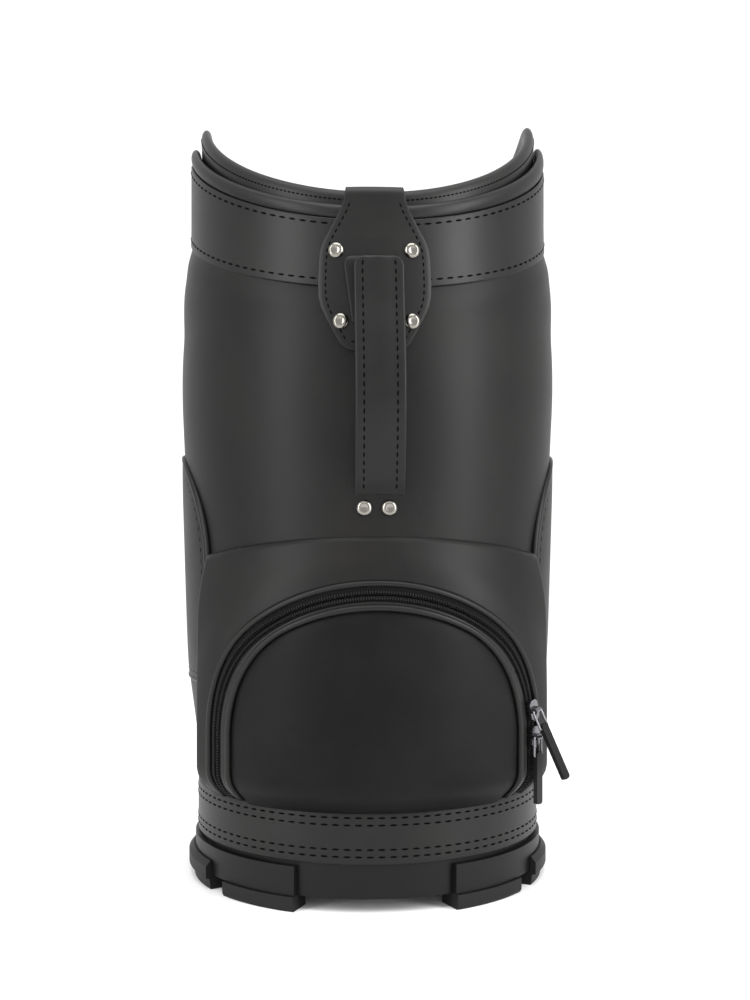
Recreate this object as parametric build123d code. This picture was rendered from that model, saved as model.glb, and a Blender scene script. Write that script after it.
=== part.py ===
from build123d import *

import os
from math import asin, atan2, cos, degrees, radians, sin, sqrt, tan

# Mini golf staff bag. Millimetres, +Z up, front towards -Y.
# The origin is on the bag's axis, at the level that the feet stand on.
# Angles round the bag start at the front and grow towards +X.

# Body
BASE_R = 95.3           # leather radius where the body leaves the base band
BASE_Z = 55.0
NECK_Z = 348.0          # height where the neck starts, which the collar goes by
BELLY_R = BASE_R + 11.3     # corner of the profile at the widest place, before its rounding
BELLY_Z = NECK_Z - 63.0
NECK_R = BASE_R + 3.6   # leather radius under the collar band
PROFILE_ROUNDS = (300.0, 350.0, 250.0)
LEATHER = 1.3
FOAM = 4.6
TUBE_WALL = 2.2
LINING = 0.7
FIT = 0.15              # gap between layers that lie on each other

# Collar: heights are (front, side) of a saddle
BAND_LOW = (NECK_Z - 33.5, NECK_Z + 6.0)
BAND_TOP = (NECK_Z + 1.0, NECK_Z + 52.0)
ROLL_TOP = (NECK_Z + 8.0, NECK_Z + 59.0)
CORE_TOP = (NECK_Z + 13.8, NECK_Z + 67.8)
LIP_TOP = (NECK_Z + 17.0, NECK_Z + 71.0)
CORE_DEPTH = 30.0       # how far the collar core reaches down into the tube
CORE_STEP = 4.25        # the core's outer face stands this far outside the tube's inner wall
CORE_WALL = 5.0
CAP_LOW = 2.0           # the tab's end inside the lip starts this far above the band
CORE_SKIRT = 2.2
CREST_ROUND = 30.0      # rounding of the saddle at the sides
LIP_COVER = 1.6
ROLL_R = NECK_R + 1.6
BAND_THICK = 1.4
BACK_STRIP_HALF = 8.0   # half angle of the strip over the back seam

# Base
CUP_R = BASE_R - 0.9
CUP_WALL = 3.0
CUP_LOW = 7.5
CUP_TOP = 50.0
CUP_FLOOR = 4.0
BASE_BAND_LOW = 25.4
BASE_BAND_TOP = 52.5
GUARD_R = BASE_R + 2.7
GUARD_LOW = 8.0
GUARD_TOP = 23.0
GUARD_SPAN = (25.0, 155.0)
FOOT_R = BASE_R + 6.4
FOOT_IN_R = BASE_R - 11.3
FOOT_LEDGE = 5.7
FOOT_TOP = 15.5
FOOT_SPANS = {"front": (25.0, 53.0), "side": (61.0, 119.0), "rear": (127.0, 155.0)}
LOW_FOOT_PROUD = 1.6    # the front and rear feet stop under the guard, and stand out from it by this
FOOT_GAP = 0.3
BOARD = 6.0
PAD = 5.0
SCREW_CIRCLE_R = BASE_R - 25.3
SCREW_R = 2.0
SCREW_HEAD_R = 4.0
SCREW_HEAD = 2.2
SCREW_COUNT = 6

# Divider under the mouth
DIVIDER_LOW = NECK_Z - 64.0
DIVIDER_TALL = 28.0
DIVIDER_THICK = 9.0
DIVIDER_ROUND = 3.5

# Ball pocket
POCKET_R = BASE_R + 16.7
POCKET_HALF = 56.5      # half angle of the pocket
POCKET_SKIN = 2.2
POCKET_TUCK = 11.0      # how far the pocket's foot draws in
POCKET_TUCK_Z = 63.0
POCKET_SHOULDER_Z = 158.0
POCKET_ROUNDS = (14.0, 120.0)
SILL_Z = 58.0           # lower edge of the door
HEM = (191.0, 180.0)    # the hem of the upper panel, at the middle and at its ends
ARCH_LEG = 92.0         # zip track on the unrolled pocket: legs, side arcs, top arc
ARCH_LEG_TOP = 88.0
ARCH_SIDE_R = 65.0
ARCH_TOP_R = 110.0
ARCH_RISE = sqrt((ARCH_TOP_R - ARCH_SIDE_R) ** 2 - (ARCH_LEG - ARCH_SIDE_R) ** 2)
DOOR_LEG = 88.0         # the door's edge leaves the teeth towards the foot, and meets the same top arc
DOOR_SIDE_R = (ARCH_TOP_R**2 - DOOR_LEG**2 - ARCH_RISE**2) / (2 * (ARCH_TOP_R - DOOR_LEG))
ZIP_GAP = 1.2           # between the two rows of teeth
COIL_WIDE = 2.1
COIL_PROUD = 0.6
TAPE_WIDE = 4.3
TAPE_THICK = 0.8
TAPE_DEEP = 1.2         # how far the tape's face lies below the leather
PIPING_WIDE = 2.9
PIPING_PROUD = 2.0
WELT_PROUD = 0.9
SEAM = 0.2
PARK_TOP = 122.0        # the door's teeth stop here above the parked sliders

# Side pockets
SIDE_LOW = 110.0
SIDE_HALF = (BASE_R + 2.5) * cos(radians(POCKET_HALF))    # they end beside the ball pocket
SIDE_ARCH_Z = 180.0
SIDE_LOW_R = BASE_R + 6.3
SIDE_TOP_R = BASE_R + 10.1
SIDE_SKIN = 1.8
SIDE_ZIP_ANGLE = 108.0
SIDE_ZIP = (124.0, 204.0)
SIDE_SLIDER_Z = 198.0

# Handle, shield and rivets
HANDLE_WIDE = 25.0
HANDLE_THICK = 3.4
HANDLE_TOP = NECK_Z - 18.5
PAD_LOW = NECK_Z - 44.0 # foot of the padding between the strap's top and the shield
HANDLE_LOW = 212.0
HANDLE_STAND = 18.0     # corner of the strap's bow off the leather, before its rounding
HANDLE_BOW_Z = (HANDLE_LOW + PAD_LOW) / 2 + 4.0
HANDLE_ROUNDS = (120.0, 80.0)
HANDLE_TAIL = 14.0      # the strap's end behind the leather
TAIL_THICK = 2.0
PAD_THICK = 4.0
SHIELD_THICK = 1.6
SHIELD_LOW = NECK_Z - 65.0
SHIELD_WIDE = 56.0
SHIELD_SIDES = (26.0, 53.0)     # the straight sides, above the shield's foot
SHIELD_FOOT = 30.0
SHIELD_ROUND = 6.0
SHIELD_NECK = 30.6
SHIELD_SHOULDER = 4.2   # where the tab starts to widen, below the lip
SHIELD_CAP = 0.3        # room between the lip and the tab that goes over it
RIVET_HEAD_R = 4.1
RIVET_HEAD = 2.0
RIVET_R = 1.8
BURR_R = 3.6
BURR = 1.0
SHIELD_RIVETS = ((19.0, NECK_Z - 14.6), (17.8, NECK_Z - 50.4))
HANDLE_RIVET = (6.3, 205.0)

# Zip sliders and pulls
SLIDER_WIDE = 7.0
SLIDER_CLEAR = 1.2      # the tape beside the parked sliders stands off from them by this
SLIDER_LONG = 11.0
SLIDER_PLATE = 1.4
SLIDER_CHANNEL = (-2.6, 1.4)
SLIDER_POST = 0.8
POST_SHIFT = -1.5       # the ball pocket's posts stand on the door's side of the track
WIRE_R = 0.65
BRIDGE_WALL = 0.7
RING_WIDE = 8.0
RING_LONG = 11.0
TAB_WIDE = 5.0
TAB_THICK = 2.4
UPPER_SLIDER_Z = 100.0
UPPER_TRAVEL = 12.0
LOWER_SLIDER_Z = 86.0
UPPER_PULL_LEAN = 17.0
UPPER_TAB = 31.0
LOWER_TAB = 27.0
SIDE_TAB = 24.0

FAR = BASE_R + 64.7     # reaches past the whole bag
TALL = NECK_Z + 112.0
DEEP_R = BASE_R - 35.3  # well inside every wall
FRONT_REACH = 94.0      # how far a cut into the front goes
TUBE_OUT = -(LEATHER + FIT + FOAM + FIT)        # offsets from the leather surface
CELL_OUT = TUBE_OUT - TUBE_WALL - FIT
CELL_IN = CELL_OUT - LINING
BAND_OUT = FIT + BAND_THICK
SHIELD_OUT = BAND_OUT + FIT + SHIELD_THICK
PAD_OUT = SHIELD_OUT + FIT + PAD_THICK
SKIRT_OUT = NECK_R + TUBE_OUT - TUBE_WALL - FIT
CORE_OUT_R = SKIRT_OUT + CORE_STEP
BRIDGE_R = WIRE_R + FIT + BRIDGE_WALL
PIVOT_OUT = SLIDER_CHANNEL[1] + SLIDER_PLATE + BRIDGE_R - 0.2   # pull's wire above the zip's face


def body_radius(z):
    """Leather radius at a height: the profile's straight runs with rounded corners."""
    corners = [(BASE_R, -FAR), (BASE_R, BASE_Z), (BELLY_R, BELLY_Z), (NECK_R, NECK_Z), (NECK_R, TALL)]
    slopes = [(b[0] - a[0]) / (b[1] - a[1]) for a, b in zip(corners, corners[1:])]
    radius = BASE_R
    for corner, before, after, rounding in zip(corners[1:], slopes, slopes[1:], PROFILE_ROUNDS):
        half_turn = (atan2(after, 1) - atan2(before, 1)) / 2
        reach = rounding * abs(tan(half_turn))
        start = corner[1] - reach * cos(atan2(before, 1))
        end = corner[1] + reach * cos(atan2(after, 1))
        if z >= end:
            radius = corner[0] + after * (z - corner[1])
        elif z > start:
            side = 1 if half_turn > 0 else -1
            angle = atan2(before, 1)
            centre_r = corner[0] + before * (start - corner[1]) + side * rounding * cos(angle)
            centre_z = start - side * rounding * sin(angle)
            return centre_r - side * sqrt(rounding**2 - (z - centre_z) ** 2)
        elif z < start:
            break
    return radius if z > BASE_Z else min(radius, BASE_R)


def section(points):
    """Closed face in the plane of radius and height."""
    return make_face(Plane.XZ * Polyline(*points, close=True))


def turn(shape, angle):
    return Rot(0, 0, angle) * shape


def slice_of(face, start, end):
    """Turns a section about the bag's axis, from one angle to another."""
    return turn(revolve(face, Axis.Z, end - start), start - 90)


def ring(inner, outer, low=0.0, high=TALL):
    return revolve(section([(inner, low), (outer, low), (outer, high), (inner, high)]), Axis.Z)


def wedge(start, end, low=0.0, high=TALL):
    return slice_of(section([(0, low), (FAR, low), (FAR, high), (0, high)]), start, end)


def body_solid(offset):
    """The bag's body as a solid, its leather surface moved outwards by the offset."""
    corners = [(BASE_R, 0), (BASE_R, BASE_Z), (BELLY_R, BELLY_Z), (NECK_R, NECK_Z), (NECK_R, TALL)]
    side = FilletPolyline(*[(radius + offset, z) for radius, z in corners], radius=PROFILE_ROUNDS)
    rest = Polyline((NECK_R + offset, TALL), (0, TALL), (0, 0), (BASE_R + offset, 0))
    return revolve(make_face(Plane.XZ * (side + rest)), Axis.Z)


def layer(outer, inner):
    """A layer of the body's wall between two offsets from the leather surface."""
    return body_solid(outer) - body_solid(inner)


def saddle_line(heights, radius):
    """Crest height and slope of a saddle whose front height holds at a radius."""
    front, side = heights
    slope = (side - front) / radius
    for _ in range(12):
        apex = side + CREST_ROUND * (sqrt(1 + slope**2) - 1)
        slope = (apex - front) / radius
    return apex, slope


def under(heights, drop=0.0, radius=NECK_R):
    """Everything below a saddle edge: two slopes that meet in a rounded crest."""
    apex, slope = saddle_line(heights, radius)
    top, end = apex - drop, apex - drop - slope * FAR
    edge = FilletPolyline((-FAR, end), (0, top), (FAR, end), radius=CREST_ROUND)
    rest = Polyline((FAR, end), (FAR, -1), (-FAR, -1), (-FAR, end))
    return extrude(make_face(Plane.YZ * (edge + rest)), FAR, dir=(1, 0, 0), both=True)


def between(low, high, low_drop=0.0, high_drop=0.0, high_radius=NECK_R):
    return under(high, high_drop, high_radius) - under(low, low_drop)


def under_hem(drop=0.0):
    """Everything below the sloping plane of the hem."""
    radius = body_radius(HEM[0])
    back_y = -radius * cos(radians(POCKET_HALF))
    slope = (HEM[0] - HEM[1]) / (radius + back_y)
    front = HEM[0] - drop + slope * (FAR - radius)
    back = HEM[1] - drop + slope * back_y
    outline = Polyline((-FAR, front), (0, back), (0, -1), (-FAR, -1), close=True)
    return extrude(make_face(Plane.YZ * outline), FAR, dir=(1, 0, 0), both=True)


def front_prism(outline):
    """A front outline, given in X and Z, cut straight into the front."""
    deep = FAR - FRONT_REACH
    return Pos(0, -deep, 0) * extrude(make_face(Plane.XZ * outline), FRONT_REACH, dir=(0, -1, 0))


def arch_outline(offset, low, leg, side_r):
    """An arch round the door, moved outwards by an offset measured on the pocket's surface."""
    side_x = leg - side_r
    joint = atan2(ARCH_RISE, side_x)
    points = []
    for turned in (0, joint / 2, joint):
        along = side_x + (side_r + offset) * cos(turned)
        height = ARCH_LEG_TOP + (side_r + offset) * sin(turned)
        points.append((POCKET_R * sin(along / POCKET_R), height))
    crown = (0, ARCH_LEG_TOP - ARCH_RISE + ARCH_TOP_R + offset)
    left = [(-x, z) for x, z in reversed(points)]
    outline = ThreePointArc(*points) + ThreePointArc(points[-1], crown, left[0]) + ThreePointArc(*left)
    return outline + Polyline(left[-1], (left[-1][0], low), (points[0][0], low), points[0])


def arch(offset, low=SILL_Z):
    """The zip's arch as a prism."""
    return front_prism(arch_outline(offset, low, ARCH_LEG, ARCH_SIDE_R))


def door_arch(offset, low=SILL_Z):
    """The door's own arch, level with the zip's at the crown and inside it at the legs."""
    return front_prism(arch_outline(offset, low, DOOR_LEG, DOOR_SIDE_R))


def pocket_solid(offset, half=POCKET_HALF, low=BASE_BAND_TOP + 1):
    """The ball pocket's outer form as a solid slice, moved outwards by an offset."""
    radius, crest = POCKET_R + offset, HEM[0] + 4
    hem_r = body_radius(HEM[0]) + offset
    tuck = (radius - POCKET_TUCK, BASE_BAND_TOP + 1)
    foot, shoulder = (radius, POCKET_TUCK_Z), (radius, POCKET_SHOULDER_Z)
    wall = FilletPolyline(tuck, foot, shoulder, (hem_r, crest), radius=POCKET_ROUNDS)
    rest = Polyline((hem_r, crest), (DEEP_R, crest), (DEEP_R, BASE_BAND_TOP + 1), tuck)
    solid = slice_of(make_face(Plane.XZ * (wall + rest)), -half, half)
    return solid & ring(0, FAR, low) if low > BASE_BAND_TOP + 1 else solid


def side_prism(offset):
    """The side pocket's arch seen from the side, cut through both sides."""
    half, low = SIDE_HALF + offset, SIDE_LOW - offset
    edge = ThreePointArc((half, SIDE_ARCH_Z), (0, SIDE_ARCH_Z + half), (-half, SIDE_ARCH_Z))
    foot = Polyline((-half, SIDE_ARCH_Z), (-half, low), (half, low), (half, SIDE_ARCH_Z))
    return extrude(make_face(Plane.YZ * (edge + foot)), FAR, dir=(1, 0, 0), both=True)


def side_radius(z):
    share = (z - SIDE_LOW) / (SIDE_ARCH_Z + SIDE_HALF - SIDE_LOW)
    return SIDE_LOW_R + share * (SIDE_TOP_R - SIDE_LOW_R)


def side_cone(offset):
    low, high = SIDE_LOW - 20, SIDE_ARCH_Z + SIDE_HALF + 20
    near_low, near_high = side_radius(low) + offset, side_radius(high) + offset
    return revolve(section([(DEEP_R, low), (near_low, low), (near_high, high), (DEEP_R, high)]), Axis.Z)


def on_front(shape, radius, angle, z, tilt=0.0):
    """Puts a piece that faces -Y at the origin onto the bag, turned about its outward line."""
    return turn(Pos(0, -radius, z) * Rot(0, -tilt, 0) * shape, angle)


def pin(radius, near, far):
    """A round pin along Y, from one distance out to another."""
    return Pos(0, -(near + far) / 2, 0) * Rot(90, 0, 0) * Cylinder(radius, far - near)


# Base
parts = {}
cup = ring(0, CUP_R, CUP_LOW, CUP_TOP) - ring(0, CUP_R - CUP_WALL, CUP_LOW + CUP_FLOOR, TALL)
board_low = CUP_LOW + CUP_FLOOR + FIT
board_r = BASE_R + CELL_OUT
pad_low = board_low + BOARD + FIT
board = ring(0, board_r, board_low, board_low + BOARD)
screws = []
for number in range(SCREW_COUNT):
    spot = turn(Pos(0, -SCREW_CIRCLE_R, CUP_LOW), 360 / SCREW_COUNT * (number + 0.5))
    shank_long = CUP_FLOOR + BOARD - 1
    shank = Pos(0, 0, shank_long / 2) * Cylinder(SCREW_R, shank_long)
    head = Pos(0, 0, -SCREW_HEAD / 2) * Cone(SCREW_HEAD_R - 1, SCREW_HEAD_R, SCREW_HEAD)
    screws.append(spot * (shank + head))
    hole = spot * Pos(0, 0, shank_long / 2) * Cylinder(SCREW_R + FIT, shank_long + 1)
    cup -= hole
    board -= hole
parts["base_cup"] = cup
parts["floor_board"] = board
parts["floor_pad"] = ring(0, board_r - LINING - FIT, pad_low, pad_low + PAD)
parts["base_screws"] = Compound(children=screws)
band_in = CUP_R + FIT
parts["base_band"] = ring(band_in, band_in + BAND_THICK, BASE_BAND_LOW, BASE_BAND_TOP)

guard_face = section([(band_in, GUARD_LOW), (GUARD_R, GUARD_LOW), (GUARD_R, GUARD_TOP), (band_in, GUARD_TOP)])
under_guard = GUARD_LOW - FOOT_GAP
foot_back = [(CUP_R + FOOT_GAP, under_guard), (CUP_R + FOOT_GAP, CUP_LOW - FIT), (FOOT_IN_R, CUP_LOW - FIT)]
foot_front = [(FOOT_IN_R, 0), (FOOT_R - 3, 0)]
low_r = GUARD_R + LOW_FOOT_PROUD
low_foot = section(foot_front + [(low_r, 1.5), (low_r, under_guard)] + foot_back)
tall_foot = section(foot_front + [
    (FOOT_R - 2, FOOT_LEDGE), (FOOT_R, FOOT_LEDGE + 0.5), (FOOT_R, FOOT_TOP - 3), (FOOT_R - 2.5, FOOT_TOP),
    (GUARD_R + FOOT_GAP, FOOT_TOP), (GUARD_R + FOOT_GAP, under_guard),
] + foot_back)
for side, sign in (("left", -1), ("right", 1)):
    parts[f"base_guard_{side}"] = slice_of(guard_face, *sorted((sign * GUARD_SPAN[0], sign * GUARD_SPAN[1])))
    for place, span in FOOT_SPANS.items():
        foot_face = tall_foot if place == "side" else low_foot
        parts[f"foot_{place}_{side}"] = slice_of(foot_face, *sorted((sign * span[0], sign * span[1])))

# Body layers, open behind the pockets
above_base = ring(0, FAR, BASE_BAND_TOP + FIT)
body_top = under(BAND_TOP, 2.0)
ball_window = wedge(-POCKET_HALF - 0.3, POCKET_HALF + 0.3, BASE_BAND_TOP - 5) & under_hem(-0.3)
side_window = side_prism(0.3)
tube = layer(TUBE_OUT, TUBE_OUT - TUBE_WALL) & body_top & ring(0, FAR, board_low)
foam = layer(-LEATHER - FIT, -LEATHER - FIT - FOAM) & body_top & above_base
foam = foam - ball_window - side_window
leather = layer(0, -LEATHER) & body_top & above_base
leather = leather - ball_window - side_window
lining = layer(CELL_OUT, CELL_IN) & under(BAND_TOP, CORE_DEPTH + 1) & ring(0, FAR, pad_low)
strip_wedge = wedge(180 - BACK_STRIP_HALF, 180 + BACK_STRIP_HALF, BASE_BAND_TOP + 1)
strip = layer(BAND_OUT, FIT) & strip_wedge & under(BAND_LOW, 1.0)
parts["back_seam_strip"] = strip

# Collar
band = layer(BAND_OUT, FIT) & between(BAND_LOW, BAND_TOP)
core_in = CORE_OUT_R - CORE_WALL
lip_r = CORE_OUT_R - CORE_WALL / 2
core = ring(core_in, CORE_OUT_R) & between(BAND_TOP, CORE_TOP, 1.8, 0, lip_r)
core += ring(SKIRT_OUT - CORE_SKIRT, SKIRT_OUT) & between(BAND_TOP, BAND_TOP, CORE_DEPTH, 0.6)
lip = ring(core_in - LIP_COVER, CORE_OUT_R + LIP_COVER) & between(BAND_TOP, LIP_TOP, -0.4, 0, lip_r)
lip -= ring(core_in - FIT, CORE_OUT_R + FIT) & under(CORE_TOP, -FIT, lip_r)
parts["collar_roll"] = ring(CORE_OUT_R + LIP_COVER + FIT, ROLL_R) & between(BAND_TOP, ROLL_TOP, -FIT)
parts["collar_lip"] = lip

# Divider
divider_reach = NECK_R + CELL_IN - 0.2
divider_z = DIVIDER_LOW + DIVIDER_TALL / 2
long_bar = Box(DIVIDER_THICK, 2 * divider_reach, DIVIDER_TALL)
parts["divider_main"] = Pos(0, 0, divider_z) * fillet(long_bar.edges().filter_by(Axis.Y), DIVIDER_ROUND)
half_long = divider_reach - DIVIDER_THICK / 2 - FIT
half_bar = Box(half_long, DIVIDER_THICK, DIVIDER_TALL)
half_bar = fillet(half_bar.edges().filter_by(Axis.X), DIVIDER_ROUND)
for side, sign in (("left", -1), ("right", 1)):
    parts[f"divider_{side}"] = Pos(sign * (DIVIDER_THICK / 2 + FIT + half_long / 2), 0, divider_z) * half_bar

# Shield: a leather tab over the front of the collar
half_wide, half_neck = SHIELD_WIDE / 2, SHIELD_NECK / 2
cap_in = core_in - LIP_COVER - FIT
cap_out = NECK_R + BAND_OUT + FIT
cap_half = degrees(asin(half_neck / cap_out))
lip_apex, lip_slope = saddle_line(LIP_TOP, lip_r)
cap_along = cos(radians(cap_half))
cap_in_z = lip_apex - lip_slope * cap_in * cap_along + SHIELD_CAP
cap_out_z = lip_apex - lip_slope * cap_out * cap_along + SHIELD_CAP
cap_rise = SHIELD_THICK * sqrt(1 + lip_slope**2)
shoulder = LIP_TOP[0] - SHIELD_SHOULDER
sides_low, sides_top = (SHIELD_LOW + height for height in SHIELD_SIDES)
right_edge = [(SHIELD_FOOT / 2, SHIELD_LOW), (half_wide, sides_low), (half_wide, sides_top)]
right_edge += [(half_neck, shoulder), (half_neck, TALL)]
left_edge = [(-x, z) for x, z in reversed(right_edge)]
shield_outline = FilletPolyline(*left_edge, *right_edge, radius=SHIELD_ROUND, close=True)
shield = layer(SHIELD_OUT, BAND_OUT + FIT) & front_prism(shield_outline) & ring(0, FAR, 0, cap_out_z + 0.5)
cap_face = section([
    (cap_in - SHIELD_THICK, BAND_TOP[0] + CAP_LOW), (cap_in, BAND_TOP[0] + CAP_LOW),
    (cap_in, cap_in_z), (cap_out, cap_out_z), (cap_out + SHIELD_THICK, cap_out_z),
    (cap_out, cap_out_z + cap_rise), (cap_in - SHIELD_THICK, cap_in_z + cap_rise),
])
shield += slice_of(cap_face, -cap_half, cap_half)

# Handle
strap_points = [
    (-(body_radius(HANDLE_TOP) + PAD_OUT + FIT), HANDLE_TOP),
    (-(body_radius(PAD_LOW) + PAD_OUT + FIT), PAD_LOW),
    (-(body_radius(HANDLE_BOW_Z) + HANDLE_STAND), HANDLE_BOW_Z),
    (-(body_radius(HANDLE_LOW) - 1.6), HANDLE_LOW),
]
strap_in = FilletPolyline(*strap_points, radius=HANDLE_ROUNDS)
strap_out = FilletPolyline(*[(y - HANDLE_THICK, z) for y, z in strap_points], radius=HANDLE_ROUNDS)
strap_sides = Line(strap_in @ 0, strap_out @ 0) + Line(strap_in @ 1, strap_out @ 1)
strap_face = make_face(Plane.YZ * (strap_in + strap_out + strap_sides))
strap = extrude(strap_face, HANDLE_WIDE / 2, dir=(1, 0, 0), both=True)
tail_box = Pos(0, -FAR / 2, HANDLE_LOW - HANDLE_TAIL / 2 + 1) * Box(HANDLE_WIDE - 3, FAR, HANDLE_TAIL + 2)
tail_out = -LEATHER - FIT
strap += layer(tail_out, tail_out - TAIL_THICK) & tail_box
slot = Pos(0, -body_radius(HANDLE_LOW), HANDLE_LOW + 5) * Box(HANDLE_WIDE + 1, 12, 12)
tail_room = Pos(0, -FAR / 2, HANDLE_LOW - HANDLE_TAIL / 2) * Box(HANDLE_WIDE - 1, FAR, HANDLE_TAIL + 2)
foam -= slot + (layer(tail_out + 1, tail_out - TAIL_THICK - FIT) & tail_room)
leather -= slot
pad_box = Pos(0, -FAR / 2, (PAD_LOW + HANDLE_TOP) / 2) * Box(HANDLE_WIDE + 2, FAR, HANDLE_TOP - PAD_LOW)
parts["handle_pad"] = layer(PAD_OUT, SHIELD_OUT + FIT) & pad_box

# Rivets go through everything between their heads and the burrs inside
shield_heads, handle_heads, burrs, rivet_holes = [], [], [], []
rivet_sets = [(x, z, SHIELD_OUT, shield_heads) for x, z in SHIELD_RIVETS]
rivet_sets.append((*HANDLE_RIVET, 0, handle_heads))
for x, z, proud, heads in rivet_sets:
    surface = body_radius(z) + proud + FIT
    inside = body_radius(z) + CELL_IN - 3 * FIT
    if z > BAND_TOP[0] - CORE_DEPTH:
        inside = SKIRT_OUT - CORE_SKIRT - FIT
    dome = Pos(0, -surface, 0) * Rot(90, 0, 0) * Cone(
        RIVET_HEAD_R, RIVET_HEAD_R - 1.3, RIVET_HEAD, align=(Align.CENTER, Align.CENTER, Align.MIN)
    )
    shank = pin(RIVET_R, inside - BURR, surface)
    burr = pin(BURR_R, inside - BURR, inside) - pin(RIVET_R + 0.05, inside - 2 * BURR, inside + BURR)
    hole = pin(RIVET_R + FIT, inside - 2, surface + 1) + pin(RIVET_HEAD_R + FIT, surface - 0.02, surface + 3)
    for side_angle in (-degrees(asin(x / surface)), degrees(asin(x / surface))):
        place = Rot(0, 0, side_angle) * Pos(0, 0, z)
        heads.append(place * (dome + shank))
        burrs.append(place * burr)
        rivet_holes.append(place * hole)
parts["shield_rivets"] = Compound(children=shield_heads)
parts["handle_rivets"] = Compound(children=handle_heads)
parts["rivet_burrs"] = Compound(children=burrs)
riveted = {
    "tube": tube, "body_foam": foam, "body_leather": leather, "tube_lining": lining, "collar_band": band,
    "collar_core": core, "shield_tab": shield, "handle_strap": strap,
}
for name, piece in riveted.items():
    parts[name] = piece - rivet_holes

# Ball pocket
back = body_solid(TUBE_OUT + FIT + LINING + FIT)
cavity = pocket_solid(-POCKET_SKIN, POCKET_HALF - 1.2, SILL_Z - 2) & under_hem(2.5)
gusset_edge = TAPE_WIDE + SEAM + PIPING_WIDE + SEAM
gusset = (pocket_solid(0) & under_hem()) - cavity - back - arch(gusset_edge)
parts["pocket_gusset"] = gusset
pocket_back = layer(TUBE_OUT + FIT + LINING, TUBE_OUT + FIT)
parts["pocket_lining"] = pocket_back & wedge(3 - POCKET_HALF, POCKET_HALF - 3, SILL_Z) & under_hem(1)


def pocket_strip(high, low, outline):
    """A strip along the arch, between two offsets from the pocket's surface."""
    return (pocket_solid(high) - pocket_solid(low, POCKET_HALF + 1)) & outline


def band(outer, inner, outer_arch=arch, inner_arch=arch):
    return outer_arch(outer) - inner_arch(inner, SILL_Z - 5)


tape_faces = (-TAPE_DEEP, -TAPE_DEEP - TAPE_THICK)
coil_faces = (COIL_PROUD, -TAPE_DEEP + 0.1)
teeth, coil = ZIP_GAP / 2, ZIP_GAP / 2 + COIL_WIDE
piping = (TAPE_WIDE + SEAM, TAPE_WIDE + SEAM + PIPING_WIDE)
parked = Pos(ARCH_LEG, -FAR / 2, (SILL_Z + PARK_TOP) / 2 - 5) * Box(ARCH_LEG, FAR, PARK_TOP - SILL_Z + 10)
parked_tape = parked & band(1, -SLIDER_WIDE / 2 - SLIDER_CLEAR)
parts["pocket_welt"] = pocket_strip(WELT_PROUD, -POCKET_SKIN, band(piping[1], piping[0]))
parts["zip_tape_outer"] = pocket_strip(*tape_faces, band(TAPE_WIDE, teeth))
parts["zip_coil_outer"] = pocket_strip(*coil_faces, band(coil, teeth))
parts["zip_tape_inner"] = pocket_strip(*tape_faces, band(-teeth, -TAPE_WIDE, arch, door_arch)) - parked_tape
parts["zip_coil_inner"] = pocket_strip(*coil_faces, band(-teeth, -coil)) - parked
piping_band = band(-piping[0], -piping[1], door_arch, door_arch)
parts["door_piping"] = pocket_strip(PIPING_PROUD, -POCKET_SKIN, piping_band)
door = pocket_solid(0) - pocket_solid(-POCKET_SKIN, POCKET_HALF + 1)
parts["pocket_door"] = door & door_arch(-piping[1] - SEAM)


def zip_slider(post_x=0.0):
    """Slider at the origin, facing -Y: two plates, a post between the teeth and a bridge."""
    low, high = SLIDER_CHANNEL
    plate = Box(SLIDER_WIDE, SLIDER_PLATE, SLIDER_LONG)
    plate = chamfer(plate.edges().filter_by(Axis.Y), 1.8)
    body = Pos(0, -high - SLIDER_PLATE / 2, 0) * plate + Pos(0, -low + SLIDER_PLATE / 2, 0) * plate
    post = Pos(post_x, -(low + high) / 2, SLIDER_LONG / 2 - 3) * Box(SLIDER_POST, high - low + 0.4, 3)
    bridge_wide = RING_WIDE - 4 * WIRE_R - 1.6
    bridge = Pos(0, -PIVOT_OUT, 0) * Rot(0, 90, 0) * Cylinder(BRIDGE_R, bridge_wide)
    stem = Pos(0, -PIVOT_OUT + BRIDGE_R / 2, 0) * Box(bridge_wide, BRIDGE_R, 2 * BRIDGE_R)
    bore = Pos(0, -PIVOT_OUT, 0) * Rot(0, 90, 0) * Cylinder(WIRE_R + FIT, RING_WIDE)
    return body + post + bridge + stem - bore


def pull_ring():
    """Wire ring whose upper bar is at the origin."""
    half, drop = RING_WIDE / 2 - WIRE_R, RING_LONG - 2 * WIRE_R
    loop = Plane.XZ * Pos(0, -drop / 2) * RectangleRounded(2 * half, drop, WIRE_R + FIT)
    path = loop.wire()
    return sweep(Plane(path @ 0, z_dir=path % 0) * Circle(WIRE_R), path)


def pull_tab(long):
    """Moulded tab round the ring's lower bar."""
    bar_z = -(RING_LONG - 2 * WIRE_R)
    tab = Box(TAB_WIDE, TAB_THICK, long)
    tab = fillet(tab.edges().filter_by(Axis.Y), TAB_WIDE * 0.3)
    bore = Pos(0, 0, bar_z) * Rot(0, 90, 0) * Cylinder(WIRE_R + FIT, RING_WIDE)
    return Pos(0, 0, bar_z + 2 - long / 2) * tab - bore


def add_slider(name, radius, angle, z, tab_long, post_x=0.0, tilt=0.0, pitch=0.0, lean=0.0):
    """A slider with its ring and tab, at an angle and height on a track of some radius."""
    lay = Rot(pitch, 0, 0)
    parts[f"{name}_slider"] = on_front(lay * zip_slider(post_x), radius, angle, z, tilt)
    hang = lay * Pos(0, -PIVOT_OUT, 0) * Rot(-lean, 0, 0)
    parts[f"{name}_pull_ring"] = on_front(hang * pull_ring(), radius, angle, z, tilt)
    parts[f"{name}_pull_tab"] = on_front(hang * pull_tab(tab_long), radius, angle, z, tilt)


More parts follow.
